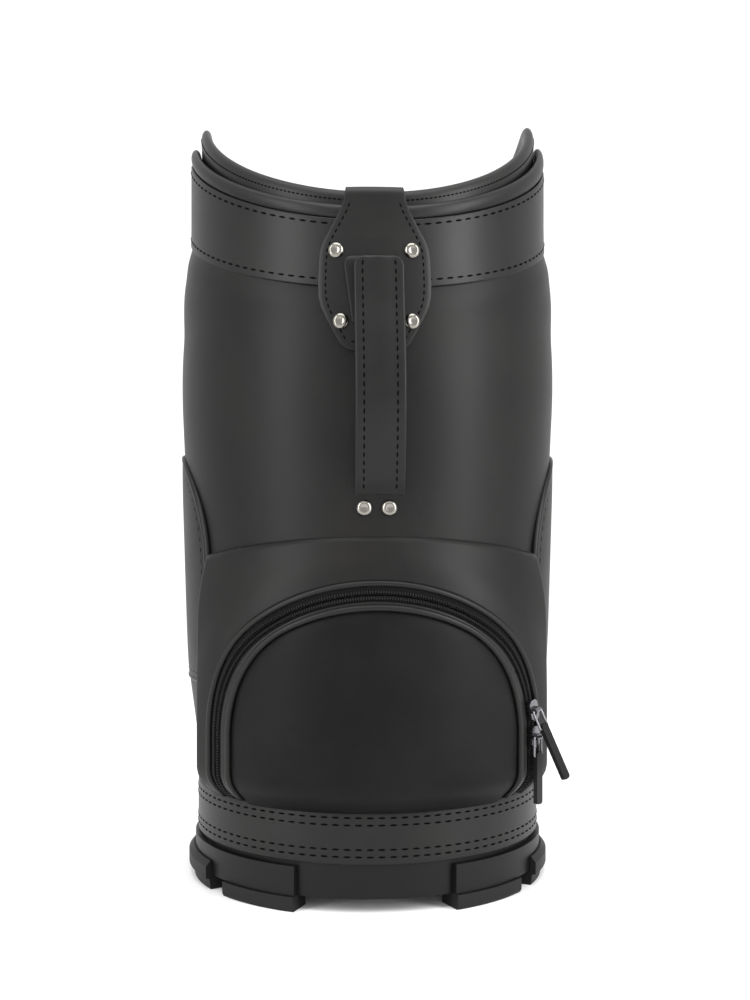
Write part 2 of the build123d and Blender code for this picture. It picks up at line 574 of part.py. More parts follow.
def track_along(z):
    """Distance of the zip's track from the middle, on the unrolled pocket."""
    above = max(0, z - ARCH_LEG_TOP)
    return ARCH_LEG - ARCH_SIDE_R + sqrt(ARCH_SIDE_R**2 - above**2)


upper_along = track_along(UPPER_SLIDER_Z)
upper_tilt = degrees(atan2(upper_along - track_along(UPPER_SLIDER_Z + UPPER_TRAVEL), UPPER_TRAVEL))
add_slider("upper", POCKET_R, degrees(upper_along / POCKET_R), UPPER_SLIDER_Z, UPPER_TAB,
           POST_SHIFT, upper_tilt, 0, UPPER_PULL_LEAN)
add_slider("lower", POCKET_R, degrees(ARCH_LEG / POCKET_R), LOWER_SLIDER_Z, LOWER_TAB, POST_SHIFT)

# Side pockets
side_tilt = degrees(atan2(SIDE_TOP_R - SIDE_LOW_R, SIDE_ARCH_Z + SIDE_HALF - SIDE_LOW))
side_panel = (side_cone(0) & side_prism(0)) - (side_cone(-SIDE_SKIN) & side_prism(-SIDE_SKIN)) - back
side_lining = pocket_back & side_prism(-SIDE_SKIN - FIT)
teeth_half = degrees(ZIP_GAP / 2 / SIDE_TOP_R)
coil_half = degrees((ZIP_GAP / 2 + COIL_WIDE) / SIDE_TOP_R)
tape_half = degrees(TAPE_WIDE / SIDE_TOP_R)
side_tape = side_cone(-SIDE_SKIN + TAPE_THICK) - side_cone(-SIDE_SKIN)
side_coil = side_cone(COIL_PROUD) - side_cone(-SIDE_SKIN)
for side, sign in (("left", -1), ("right", 1)):
    half_space = wedge(*sorted((sign * (POCKET_HALF + SEAM), sign * 150)))
    middle = sign * SIDE_ZIP_ANGLE
    slit = wedge(middle - tape_half - 0.1, middle + tape_half + 0.1, SIDE_ZIP[0] - 2, SIDE_ZIP[1] + 2)
    parts[f"side_pocket_{side}"] = (side_panel & half_space) - slit
    parts[f"side_lining_{side}"] = side_lining & half_space
    rows = []
    for row in (-1, 1):
        near, coil_far, tape_far = row * teeth_half, row * coil_half, row * tape_half
        coil_slice = wedge(*sorted((middle + near, middle + coil_far)), *SIDE_ZIP)
        tape_slice = wedge(*sorted((middle + near, middle + tape_far)), *SIDE_ZIP)
        rows.append((side_coil & coil_slice) + (side_tape & tape_slice))
    parts[f"side_zip_{side}"] = Compound(children=rows)
    add_slider(f"side_{side}", side_radius(SIDE_SLIDER_Z), middle, SIDE_SLIDER_Z, SIDE_TAB, pitch=side_tilt)

os.makedirs("parts", exist_ok=True)
for name, piece in parts.items():
    export_step(piece, f"parts/{name}.step")
print(len(parts), "nodes")
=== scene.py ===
"""Mini golf staff bag: leather, zips, collar, base and fittings round the CAD frame."""
from math import asin, atan2, copysign, cos, exp, hypot, pi, radians, sin, sqrt

import bmesh
import bpy
from mathutils import Matrix, Vector, noise


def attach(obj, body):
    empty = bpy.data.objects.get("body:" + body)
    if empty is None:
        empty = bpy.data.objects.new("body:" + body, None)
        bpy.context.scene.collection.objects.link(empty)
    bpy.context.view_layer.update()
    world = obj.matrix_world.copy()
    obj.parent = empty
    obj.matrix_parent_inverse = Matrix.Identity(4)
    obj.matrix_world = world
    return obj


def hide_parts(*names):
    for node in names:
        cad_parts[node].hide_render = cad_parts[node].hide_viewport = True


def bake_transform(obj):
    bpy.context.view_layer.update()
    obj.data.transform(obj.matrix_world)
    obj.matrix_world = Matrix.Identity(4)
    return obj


bl_info = {
    "name": "Mini golf staff bag",
    "version": (1, 0, 0),
    "blender": (4, 5, 0),
    "location": "3D View > Sidebar > Golf Bag",
    "description": "Builds the leather, zips, collar, base and fittings of a mini golf staff bag",
    "category": "Object",
}

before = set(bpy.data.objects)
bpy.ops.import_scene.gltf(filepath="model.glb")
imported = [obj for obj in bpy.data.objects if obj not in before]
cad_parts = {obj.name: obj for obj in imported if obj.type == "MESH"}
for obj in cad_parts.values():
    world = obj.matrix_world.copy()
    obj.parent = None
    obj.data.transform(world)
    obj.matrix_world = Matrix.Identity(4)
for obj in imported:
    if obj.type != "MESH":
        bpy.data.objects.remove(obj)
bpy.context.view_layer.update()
MM = 0.001

# Body form, in millimetres
BASE_R = 95.3
FOOT_BEND = (55.0, 7.4, 0.04913)        # height, reach and change of slope
BELLY_BEND = (285.0, 29.9, -0.17135)
NECK_BEND = (348.0, 15.2, 0.12222)
SIDE_FULLNESS = (296.0, 358.0, 2.6)     # the body stays full at the sides up to the band
LEATHER = 1.3
HEM_FRONT, HEM_DROP = 191.0, 24.56
BAND_LOW = (314.5, 354.0, 354.0)        # heights at the front, the left and the right
BAND_TOP = (349.0, 400.0, 400.0)
ROLL_TOP = (356.0, 408.5, 411.5)
LIP_TOP = (365.0, 420.5, 424.3)
SADDLE_SOFT = 0.09
ROLL_R, LIP_R = 97.9, 92.1              # middles of the roll and the lip
BASE_BAND_R = 94.6
BASE_TOP = 52.5

# Ball pocket form
POCKET_R = 112.0
POCKET_HALF = radians(56.5)
POCKET_SIDE = POCKET_R * POCKET_HALF
FOOT_CORNER = (101.0, 53.5, 1.158, 63.0, 6.4)
SHOULDER_CORNER = (158.0, 16.0, 0.2708)
LEG_TOP, LEG_FOOT = 88.0, 54.0
TOP_R, TOP_Z = 110.0, 52.0
ZIP_ARCH = (92.0, 65.0)                 # leg and side arc of the zip's track, unrolled
DOOR_ARCH = (88.0, 69.545)              # the door's edge leaves the teeth towards its foot
PARK_TOP = 122.0                        # teeth below this on the right stay with the parked sliders
GUSSET_EDGE = 7.6

# Side pockets
SIDE_POCKET = {"low": 110.0, "half": 54.0, "arch_z": 180.0, "low_r": 101.6, "top_r": 105.4}
SIDE_ZIP_ANGLE = radians(108)
SIDE_ZIP = (124.0, 204.0)


# ---------------------------------------------------------------- sizes and colours
def metres(name, description, default):
    return bpy.props.FloatProperty(name=name, description=description, default=default * MM, unit="LENGTH")


def colour(name, description, shade):
    value = tuple(int(shade[i:i + 2], 16) / 255 for i in (1, 3, 5))
    return bpy.props.FloatVectorProperty(
        name=name, description=description, default=value, subtype="COLOR_GAMMA", min=0, max=1)


class GolfBagSizes(bpy.types.PropertyGroup):
    """Sizes a maker would change."""
    stitch_long: metres("Stitch length", "Length of the thick stitches on the bands", 4.3)
    stitch_pitch: metres("Stitch pitch", "Distance between the thick stitches", 5.9)
    fine_pitch: metres("Fine stitch pitch", "Distance between the stitches on the lip", 2.5)
    tooth_pitch: metres("Tooth pitch", "Distance between the zip's teeth", 1.35)
    door_crown: metres("Door crown", "How far the ball pocket's door bulges", 2.6)


class GolfBagColours(bpy.types.PropertyGroup):
    """Colours a maker would change."""
    leather: colour("Leather", "Body leather", "#101010")
    leather_worn: colour("Leather, worn", "Body leather where it is rubbed", "#161514")
    # Painted shade: the door's colour is set darker than the body leather to stand for the shade on the ball
    # pocket's door.
    door: colour("Door leather", "Ball pocket's door", "#0a0a0a")
    plastic: colour("Plastic", "Moulded base", "#0d0d0d")
    thread: colour("Thread", "Stitching", "#020202")
    lining: colour("Lining", "Fabric inside", "#1a1a1c")
    floor: colour("Floor", "Studio floor", "#f4f4f4")


def size(name):
    """One of the user's sizes, in millimetres."""
    return getattr(bpy.context.scene.golf_bag_sizes, name) / MM


def shades():
    return bpy.context.scene.golf_bag_colours


# ---------------------------------------------------------------- form of the bag
def soft_ramp(t, reach):
    if t <= -reach:
        return 0.0
    return t if t >= reach else (t + reach) ** 2 / (4 * reach)


def body_r(z, theta=0.0):
    """Radius of the leather at a height and an angle from the front."""
    radius = BASE_R + sum(change * soft_ramp(z - level, reach)
                          for level, reach, change in (FOOT_BEND, BELLY_BEND, NECK_BEND))
    low, high, full = SIDE_FULLNESS
    if low < z < high:
        radius += full * sin(theta) ** 2 * sin(pi * (z - low) / (high - low)) ** 2
    return radius


def saddle(heights, theta):
    """Height of a collar edge, low at the front and back and high at the sides."""
    front, side = heights[0], heights[2 if sin(theta) > 0 else 1]
    lean = sqrt(cos(theta) ** 2 + SADDLE_SOFT ** 2) - SADDLE_SOFT
    return side - (side - front) * lean / (sqrt(1 + SADDLE_SOFT ** 2) - SADDLE_SOFT)


def hem(theta):
    return HEM_FRONT - HEM_DROP * (1 - cos(theta))


def polar(theta, radius, z):
    return Vector((radius * sin(theta), -radius * cos(theta), z))


def pocket_r(z):
    start, low, slope, corner, reach = FOOT_CORNER
    level, shoulder_reach, fall = SHOULDER_CORNER
    return (start + slope * (z - low) - slope * soft_ramp(z - corner, reach)
            - fall * soft_ramp(z - level, shoulder_reach))


def arch_runs(leg, side_arc):
    """The top arc's half angle, the lengths of the top and side arcs, and half the whole arch."""
    turn = atan2(leg - side_arc, LEG_TOP - TOP_Z)
    top, side = TOP_R * turn, side_arc * (pi / 2 - turn)
    return turn, top, side, top + side + LEG_TOP - LEG_FOOT


def track(along, arch=ZIP_ARCH):
    """Point and outward direction on an arch of the unrolled pocket, from its crown."""
    leg, side_arc = arch
    turned, top, sides, _ = arch_runs(leg, side_arc)
    side, run = copysign(1, along), abs(along)
    if run <= top:
        turn = pi / 2 - run / TOP_R
        centre = (0.0, TOP_Z, TOP_R)
    elif run <= top + sides:
        turn = pi / 2 - turned - (run - top) / side_arc
        centre = (leg - side_arc, LEG_TOP, side_arc)
    else:
        return side * leg, LEG_TOP - (run - top - sides), side, 0.0
    across, up = cos(turn), sin(turn)
    return side * (centre[0] + centre[2] * across), centre[1] + centre[2] * up, side * across, up


def beside(along, offset, arch=ZIP_ARCH):
    s, z, across, up = track(along, arch)
    return s + offset * across, z + offset * up


def on_unrolled(s, z, height):
    return polar(s / POCKET_R, pocket_r(z) + height, z)


def on_pocket(along, offset, height, arch=ZIP_ARCH):
    """Point beside an arch, at a height above the pocket's surface."""
    return on_unrolled(*beside(along, offset, arch), height)


TOP_RUN, SIDE_RUN, TRACK_HALF = arch_runs(*ZIP_ARCH)[1:]
DOOR_TURN, DOOR_HALF = arch_runs(*DOOR_ARCH)[0], arch_runs(*DOOR_ARCH)[3]


def side_r(z):
    p = SIDE_POCKET
    share = (z - p["low"]) / (p["arch_z"] + p["half"] - p["low"])
    return p["low_r"] + share * (p["top_r"] - p["low_r"])


def on_side(y, z, height, side):
    """Point of a side pocket's panel, from its place in the side view."""
    radius = side_r(z) + height
    return Vector((side * sqrt(max(1.0, radius ** 2 - y ** 2)), y, z))


# ---------------------------------------------------------------- shaping tools
def cut_away(bm, lost):
    """Removes the faces whose middles are lost."""
    gone = [face for face in bm.faces if lost(face.calc_center_median())]
    bmesh.ops.delete(bm, geom=gone, context="FACES")


def sheet(columns, rows, place, keep=None):
    """A grid laid over a form; keep says which cells stay."""
    bm = bmesh.new()
    bmesh.ops.create_grid(bm, x_segments=columns, y_segments=rows, size=0.5)
    if keep:
        cut_away(bm, lambda middle: not keep(middle.x + 0.5, middle.y + 0.5))
    for vert in bm.verts:
        vert.co = place(vert.co.x + 0.5, vert.co.y + 0.5)
    bmesh.ops.remove_doubles(bm, verts=bm.verts, dist=1e-3)
    bmesh.ops.dissolve_degenerate(bm, edges=bm.edges, dist=1e-4)
    return bm


def rod(section, columns, place):
    """A closed section carried along a path; open ends are capped."""
    count = len(section)

    def spot(u, v):
        across, out = section[round(v * count) % count]
        return place(u, across, out)

    bm = sheet(columns, count, spot)
    bmesh.ops.holes_fill(bm, edges=[e for e in bm.edges if e.is_boundary], sides=0)
    bmesh.ops.recalc_face_normals(bm, faces=bm.faces)
    return bm


def oval(half_across, half_out, centre=(0.0, 0.0), count=12):
    turns = [2 * pi * i / count for i in range(count)]
    return [(centre[0] + half_across * cos(t), centre[1] + half_out * sin(t)) for t in turns]


def bar(low, high, inner, outer, rounding, corner=4, across=1):
    """Section of a strip with rounded edges, its long sides divided across."""
    corners = ((high - rounding, outer - rounding, 0), (low + rounding, outer - rounding, 1),
               (low + rounding, inner + rounding, 2), (high - rounding, inner + rounding, 3))
    points = []
    for number, (x, y, quarter) in enumerate(corners):
        for step in range(corner + 1):
            turn = pi / 2 * (quarter + step / corner)
            points.append((x + rounding * cos(turn), y + rounding * sin(turn)))
        if quarter in (0, 2):
            end = corners[number + 1]
            last = points[-1]
            points += [(last[0] + (end[0] - x) * i / across, last[1]) for i in range(1, across)]
    return points


def face_out(bm):
    """Turns an open sheet's faces away from the bag's axis."""
    total = 0.0
    bm.normal_update()
    for face in bm.faces:
        middle = face.calc_center_median()
        total += face.normal.dot(Vector((middle.x, middle.y, 0))) * face.calc_area()
    if total < 0:
        bmesh.ops.reverse_faces(bm, faces=bm.faces)


def skin(columns, rows, place, keep=None):
    """A sheet that faces away from the bag's axis."""
    bm = sheet(columns, rows, place, keep)
    face_out(bm)
    return bm


def merged(pieces):
    """Several shapes as one, by way of meshes."""
    whole = bmesh.new()
    for part in pieces:
        mesh = bpy.data.meshes.new("part")
        part.to_mesh(mesh)
        part.free()
        whole.from_mesh(mesh)
        bpy.data.meshes.remove(mesh)
    return whole


def make_piece(
        bm, name, material, slot, body="root", stands_for=(), thick=0.0, edge=0.0, smooth=0, blended=False):
    """Makes the object: thickness, rounded rims and smoothing are applied to its mesh."""
    mesh = bpy.data.meshes.new(name)
    bmesh.ops.scale(bm, vec=(MM, MM, MM), verts=bm.verts)
    bm.to_mesh(mesh)
    bm.free()
    mesh.shade_smooth()
    mesh.materials.append(material)
    piece = bpy.data.objects.new(name, mesh)
    bpy.context.scene.collection.objects.link(piece)
    if thick:
        wall = piece.modifiers.new("Wall", "SOLIDIFY")
        wall.thickness, wall.offset, wall.use_even_offset = thick * MM, -1, False
    if edge:
        rim = piece.modifiers.new("Rim", "BEVEL")
        rim.width, rim.segments, rim.limit_method, rim.angle_limit = edge * MM, 2, "ANGLE", radians(50)
    if smooth:
        finer = piece.modifiers.new("Finer", "SUBSURF")
        finer.levels = finer.render_levels = smooth
    if piece.modifiers:
        graph = bpy.context.evaluated_depsgraph_get()
        final = bpy.data.meshes.new_from_object(piece.evaluated_get(graph))
        piece.modifiers.clear()
        piece.data = final
        final.name = name
        final.shade_smooth()
    if blended:
        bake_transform(piece)
    else:
        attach(piece, body)
    if stands_for:
        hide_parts(*stands_for)
    return piece


def leather(bm, name, *nodes, look=None, **shape):
    """A leather piece, which may stand for CAD nodes."""
    return make_piece(bm, name, (look or trim_leather)(), "leather", stands_for=nodes, **shape)


def tape(bm, name, *nodes, **shape):
    make_piece(bm, name, tape_cloth(), "zip_tape", stands_for=nodes, **shape)


def teeth(bm, name, *nodes, **shape):
    make_piece(bm, name, coil_nylon(), "zip_coil", stands_for=nodes, **shape)


def lined(bm, name, *nodes, **shape):
    """A piece of the inside's cloth."""
    return make_piece(bm, name, lining_cloth(), "lining", stands_for=nodes, **shape)


def stitches(name, spots, half_long, half_wide, half_high):
    make_piece(beads(spots, half_long, half_wide, half_high), name, thread(), "leather")


def halve(low, high, below):
    """Narrows a range to where below stops holding; gives its lower end and its last middle."""
    for _ in range(40):
        middle = (low + high) / 2
        low, high = (middle, high) if below(middle) else (low, middle)
    return low, middle


def beads(spots, half_long, half_wide, half_high):
    """Small rounded lengths of thread or teeth, each with its place, direction and outward line."""
    bm = bmesh.new()
    for place, along, out in spots:
        along = along.normalized()
        side = out.cross(along).normalized()
        up = along.cross(side)
        turn = Matrix((along * half_long, side * half_wide, up * half_high)).transposed().to_4x4()
        bmesh.ops.create_icosphere(bm, subdivisions=1, radius=1.0, matrix=Matrix.Translation(place) @ turn)
    return bm


def stitch_row(path, start, end, pitch, closed=False):
    """Even stitches along a path given as a function; start and end are its limits."""
    fine = 600
    points = [path(start + (end - start) * i / fine) for i in range(fine + 1)]
    lengths = [0.0]
    for before, after in zip(points, points[1:]):
        lengths.append(lengths[-1] + (after - before).length)
    count = max(2, round(lengths[-1] / pitch))
    spots, index = [], 0
    for number in range(count):
        reach = lengths[-1] * (number + 0.5) / count
        while lengths[index + 1] < reach:
            index += 1
        before, after = points[index], points[index + 1]
        share = (reach - lengths[index]) / (lengths[index + 1] - lengths[index])
        place = before.lerp(after, share)
        spots.append((place, after - before, Vector((place.x, place.y, 0)).normalized()))
    return spots


# ---------------------------------------------------------------- materials
def linear(shade):
    """sRGB, as a hex string or three parts, to linear."""
    if isinstance(shade, str):
        shade = [int(shade[i:i + 2], 16) / 255 for i in (1, 3, 5)]
    return [c / 12.92 if c <= 0.04045 else ((c + 0.055) / 1.055) ** 2.4 for c in shade] + [1.0]


def lighter(shade, times):
    return [min(1.0, c * times) for c in linear(shade)[:3]] + [1.0]


def add(tree, kind, settings=None, values=None, links=None):
    """Adds a node with its settings, input values and links from other nodes' outputs."""
    node = tree.nodes.new(kind)
    for key, value in (settings or {}).items():
        setattr(node, key, value)
    for key, value in (values or {}).items():
        node.inputs[key].default_value = value
    for key, source in (links or {}).items():
        tree.links.new(source, node.inputs[key])
    return node


def once(make):
    """Makes a material the first time its name is asked for."""
    def named(name, *values, **more):
        material = bpy.data.materials.get(name)
        if not material:
            material = bpy.data.materials.new(name)
            material.use_nodes = True
            make(material.node_tree, material.node_tree.nodes["Principled BSDF"], *values, **more)
        return material
    return named


def wire(tree, shader, **sources):
    """Links outputs to the shader's inputs of the same names."""
    for name, output in sources.items():
        tree.links.new(output, shader.inputs[name.replace("_", " ").title()])


@once
def pu_leather(tree, shader, dark, worn, roughness=0.42, grain_mm=0.8, gleam=0.16):
    """Polyurethane leather, rolled with a fine pebble grain: an even satin with soft, cloudy wear."""
    where = add(tree, "ShaderNodeTexCoord").outputs["Object"]
    cloud = add(tree, "ShaderNodeTexNoise", values={"Scale": 22.0, "Detail": 4.0, "Roughness": 0.6},
                links={"Vector": where})
    spread = add(tree, "ShaderNodeMapRange", values={"From Min": 0.38, "From Max": 0.68},
                 links={"Value": cloud.outputs["Fac"]})
    tone = add(tree, "ShaderNodeMix", {"data_type": "RGBA"},
               {"A": linear(dark), "B": linear(worn)}, {"Factor": spread.outputs["Result"]})
    pebble = add(tree, "ShaderNodeTexVoronoi", {"feature": "SMOOTH_F1"},
                 {"Scale": 1 / (grain_mm * MM), "Smoothness": 0.6}, {"Vector": where})
    fine = add(tree, "ShaderNodeTexNoise", values={"Scale": 2 / (grain_mm * MM), "Detail": 3.0},
               links={"Vector": where})
    both = add(tree, "ShaderNodeMath", {"operation": "MULTIPLY_ADD"}, {1: 0.35},
               {0: fine.outputs["Fac"], 2: pebble.outputs["Distance"]})
    bump = add(tree, "ShaderNodeBump", values={"Strength": 0.22, "Distance": 0.12 * MM},
               links={"Height": both.outputs["Value"]})
    rub = add(tree, "ShaderNodeMapRange", values={"To Min": roughness - 0.05, "To Max": roughness + 0.09},
              links={"Value": cloud.outputs["Fac"]})
    wire(tree, shader, base_color=tone.outputs["Result"], roughness=rub.outputs["Result"],
         normal=bump.outputs["Normal"])
    shader.inputs["Specular IOR Level"].default_value = gleam


@once
def moulded(tree, shader, shade, roughness, grit_mm=0.5, strength=0.15):
    """Injection-moulded plastic or rubber, spark-eroded: a dull, even, slightly speckled face."""
    where = add(tree, "ShaderNodeTexCoord").outputs["Object"]
    grit = add(tree, "ShaderNodeTexNoise", values={"Scale": 1 / (grit_mm * MM), "Detail": 5.0},
               links={"Vector": where})
    wide = add(tree, "ShaderNodeTexNoise", values={"Scale": 35.0, "Detail": 3.0}, links={"Vector": where})
    tone = add(tree, "ShaderNodeMix", {"data_type": "RGBA"}, {"A": linear(shade), "B": lighter(shade, 1.35)},
               {"Factor": wide.outputs["Fac"]})
    rub = add(tree, "ShaderNodeMapRange", values={"To Min": roughness - 0.06, "To Max": roughness + 0.08},
              links={"Value": wide.outputs["Fac"]})
    bump = add(tree, "ShaderNodeBump", values={"Strength": strength, "Distance": 0.1 * MM},
               links={"Height": grit.outputs["Fac"]})
    wire(tree, shader, base_color=tone.outputs["Result"], roughness=rub.outputs["Result"],
         normal=bump.outputs["Normal"])
    shader.inputs["Specular IOR Level"].default_value = 0.16


@once
def polished_metal(tree, shader, shade, roughness):
    """Plated metal, barrel-polished: bright, with faint rubbing marks that only break up the gleam."""
    where = add(tree, "ShaderNodeTexCoord").outputs["Object"]
    marks = add(tree, "ShaderNodeTexNoise", values={"Scale": 900.0, "Detail": 4.0}, links={"Vector": where})
    rub = add(tree, "ShaderNodeMapRange", values={"To Min": roughness * 0.7, "To Max": roughness * 1.4},
              links={"Value": marks.outputs["Fac"]})
    wire(tree, shader, roughness=rub.outputs["Result"])
    shader.inputs["Base Color"].default_value = linear(shade)
    shader.inputs["Metallic"].default_value = 1.0


@once
def woven(tree, shader, shade, thread_mm=0.9, roughness=0.85, gleam=0.15, fuzz=0.05):
    """Plain-woven polyester: a matt cloth with crossing threads; the threads are drawn at a real size."""
    where = add(tree, "ShaderNodeTexCoord").outputs["Object"]
    waves = []
    for axis in ("X", "Y", "Z"):
        waves.append(add(tree, "ShaderNodeTexWave", {"bands_direction": axis},
                         {"Scale": pi / 10 / (thread_mm * MM), "Distortion": 0.4}, {"Vector": where}))
    first = add(tree, "ShaderNodeMath", {"operation": "MAXIMUM"}, None,
                {0: waves[0].outputs["Fac"], 1: waves[1].outputs["Fac"]})
    weave = add(tree, "ShaderNodeMath", {"operation": "MULTIPLY"}, None,
                {0: first.outputs["Value"], 1: waves[2].outputs["Fac"]})
    tone = add(tree, "ShaderNodeMix", {"data_type": "RGBA"}, {"A": linear(shade), "B": lighter(shade, 2.2)},
               {"Factor": weave.outputs["Value"]})
    bump = add(tree, "ShaderNodeBump", values={"Strength": 0.5, "Distance": 0.2 * MM},
               links={"Height": weave.outputs["Value"]})
    wire(tree, shader, base_color=tone.outputs["Result"], normal=bump.outputs["Normal"])
    shader.inputs["Roughness"].default_value = roughness
    shader.inputs["Specular IOR Level"].default_value = gleam
    shader.inputs["Sheen Weight"].default_value = fuzz


@once
def matt_paint(tree, shader, shade):
    """Matt emulsion paint: an even, plain ground."""
    shader.inputs["Base Color"].default_value = linear(shade)
    shader.inputs["Roughness"].default_value = 0.9
    shader.inputs["Specular IOR Level"].default_value = 0.1


def body_leather():
    return pu_leather("PU leather, satin", shades().leather, shades().leather_worn)


def trim_leather():
    return pu_leather("PU leather, folded trim", shades().leather, shades().leather_worn, 0.38, 0.6, 0.22)


# Painted shade: the door's material takes the darker door colour, which stands for shade on the door, not for
# a different leather.
def door_leather_painted_shade():
    return pu_leather("PU leather, door panel", shades().door, shades().leather, 0.48, gleam=0.1)


def thread():
    return woven("Bonded nylon thread", shades().thread, 0.35, 0.8, 0.04, 0.0)


def lining_cloth():
    return woven("Polyester lining", shades().lining)


def tape_cloth():
    return woven("Zip tape, woven polyester", "#0b0b0b", 0.5)


def coil_nylon():
    return moulded("Nylon zip coil", "#161616", 0.4, 0.3, 0.05)


# ---------------------------------------------------------------- body
class GOLFBAG_OT_body(bpy.types.Operator):
    """Body leather, with the strip over its back seam"""
    bl_idname = "golfbag.body"
    bl_label = "Body"

    def execute(self, context):
        front, total, below = 46, 150, 44
        rows = 100
        window = radians(57.0)
        share = front / total / 2

        def angle(u):
            x = u - 0.5
            if abs(x) <= share:
                return x / share * window
            return copysign(window + (abs(x) - share) / (0.5 - share) * (pi - window), x)

        def place(u, v):
            theta = angle(u)
            edge = hem(theta) - 5 if abs(theta) <= window + 1e-6 else hem(window) - 5
            split = below / rows
            if v <= split:
                z = 51.0 + (edge - 51.0) * v / split
            else:
                z = edge + (saddle(BAND_LOW, theta) + 8 - edge) * (v - split) / (1 - split)
            cloud = noise.noise(Vector((sin(theta) * 2.2, cos(theta) * 2.2, z / 55.0)))
            level = saddle(BAND_LOW, theta) - z
            swell = 0.9 * exp(-((level - 9) / 7.0) ** 2) * (1 if level > 0 else 0.4)
            beyond = min(abs(theta) - window - 0.03, radians(123) - abs(theta)) / radians(7)
            taper = max(0.0, min((z - 70) / 38, (140 - z) / 30, 1.0))
            swell += 3.2 * taper * max(0.0, min(1.0, beyond)) ** 0.7
            return polar(theta, body_r(z, theta) + 0.35 * cloud + swell, z)

        def keep(u, v):
            return abs(u - 0.5) > share or v > below / rows

        leather(skin(total, rows, place, keep), "body_panels", "body_leather", "body_foam", look=body_leather,
                thick=LEATHER, edge=0.4)

        def strip(u, across, out):
            z = 53.0 + (saddle(BAND_LOW, pi) + 3 - 53.0) * u
            radius = body_r(z, pi)
            return polar(pi + across / radius, radius + out, z)

        leather(rod(bar(-13.4, 13.4, 0.1, 1.7, 0.7, across=8), 90, strip), "back_strip", "back_seam_strip")
        rows = []
        for line in (-10.2, 10.2):
            rows += stitch_row(lambda u: strip(u, line, 1.75), 0.0, 0.98, size("stitch_pitch"))
        stitches("back_strip_stitches", rows, size("stitch_long") / 2, 0.42, 0.32)
        return {"FINISHED"}


# ---------------------------------------------------------------- collar
class GOLFBAG_OT_collar(bpy.types.Operator):
    """Stitched band, roll and padded lip"""
    bl_idname = "golfbag.collar"
    bl_label = "Collar"

    def execute(self, context):
        columns = 180

        def on_band(u, share, out):
            theta = 2 * pi * u
            low, top = saddle(BAND_LOW, theta), saddle(BAND_TOP, theta)
            z = low + (top - low) * share
            return polar(theta, body_r(z) + out, z)

        tall = 36.0
        section = [(across / tall, out) for across, out in bar(0, tall, 0.15, 1.7, 0.75, across=14)]
        leather(rod(section, columns, on_band), "collar_wrap", "collar_band")

        def on_roll(u, across, out):
            theta = 2 * pi * u
            low, top = saddle(BAND_TOP, theta), saddle(ROLL_TOP, theta)
            return polar(theta, ROLL_R + out, (low + top) / 2 + across * (top - low + 1) / 8)

        leather(rod(oval(4.0, 2.7, count=18), columns, on_roll), "collar_bead", "collar_roll")

        def on_lip(u, out, up):
            theta = 2 * pi * u
            lean = sin(theta) ** 4
            return polar(theta, LIP_R + out * (1 - 0.28 * lean) - 0.3 * lean, saddle(LIP_TOP, theta) + up)

        outline = [(3.2, -15.5), (4.1, -11.5), (4.35, -8.0), (4.3, -5.0), (3.7, -2.4), (2.3, -0.6),
                   (0.3, 0.1), (-1.7, -0.5), (-3.3, -2.2), (-4.0, -5.0), (-4.2, -9.0), (-4.1, -14.0),
                   (-3.7, -20.0), (-2.9, -21.0), (0.0, -21.0), (2.4, -18.0)]
        lip = leather(rod(outline, columns, on_lip), "collar_padding", "collar_lip", smooth=1)
        rows = []
        for share in (3.6 / tall, 1 - 3.0 / tall):
            rows += stitch_row(lambda u: on_band(u, share, 1.72), 0.0, 1.0, size("stitch_pitch"))
        stitches("collar_stitches", rows, size("stitch_long") / 2, 0.6, 0.36)
        rows = stitch_row(lambda u: on_lip(u, 4.36, -5.6), 0.0, 1.0, size("fine_pitch"))
        stitches("lip_stitches", rows, size("fine_pitch") * 0.4, 0.42, 0.26)
        return {"FINISHED"}


# ---------------------------------------------------------------- shield and handle
SHIELD_EDGE = ((283.0, 11.0), (284.2, 14.6), (287.0, 17.2), (292.0, 19.9), (300.0, 24.0), (305.0, 26.3),
               (310.0, 27.6), (316.0, 28.0), (328.0, 28.0), (333.5, 27.6), (338.0, 26.2), (345.0, 22.6),
               (354.0, 17.9), (359.0, 16.1), (364.0, 15.4), (420.0, 15.3))
SHIELD_HEIGHTS = (283.0, 361.0, 366.2)   # foot, start of the bend over the lip, top
SHIELD_RADII = (102.0, 86.6)            # outside and inside the lip
LEAN_FROM = 340.0                       # the shield leans out over the roll above this
HANDLE_LINE = ((329.5, 7.7), (318.0, 7.8), (306.0, 8.4), (290.0, 11.0), (272.0, 13.3), (254.0, 13.0),
               (238.0, 10.0), (225.0, 5.4), (216.5, 1.6), (210.0, -2.6))
RIVETS = ((-20.4, 333.4, 3.45), (17.6, 333.4, 3.45), (-18.2, 297.6, 3.45), (17.4, 297.6, 3.45),
          (-6.3, 205.0, 0.2), (6.3, 205.0, 0.2))


def between_points(points, value):
    """Straight interpolation in a table of pairs."""
    for (a, first), (b, second) in zip(points, points[1:]):
        if min(a, b) <= value <= max(a, b):
            return first + (second - first) * (value - a) / (b - a)
    return points[0][1] if abs(value - points[0][0]) < abs(value - points[-1][0]) else points[-1][1]


def smooth_line(points, share):
    """A soft curve through points given as pairs."""
    spans = len(points) - 1
    index = min(int(share * spans), spans - 1)
    t = share * spans - index
    ends = [Vector(points[max(0, min(spans, index + step))]) for step in (-1, 0, 1, 2)]
    lean_in, lean_out = (ends[2] - ends[0]) / 2, (ends[3] - ends[1]) / 2
    return (ends[1] * (2 * t ** 3 - 3 * t ** 2 + 1) + lean_in * (t ** 3 - 2 * t ** 2 + t)
            + ends[2] * (3 * t ** 2 - 2 * t ** 3) + lean_out * (t ** 3 - t ** 2))


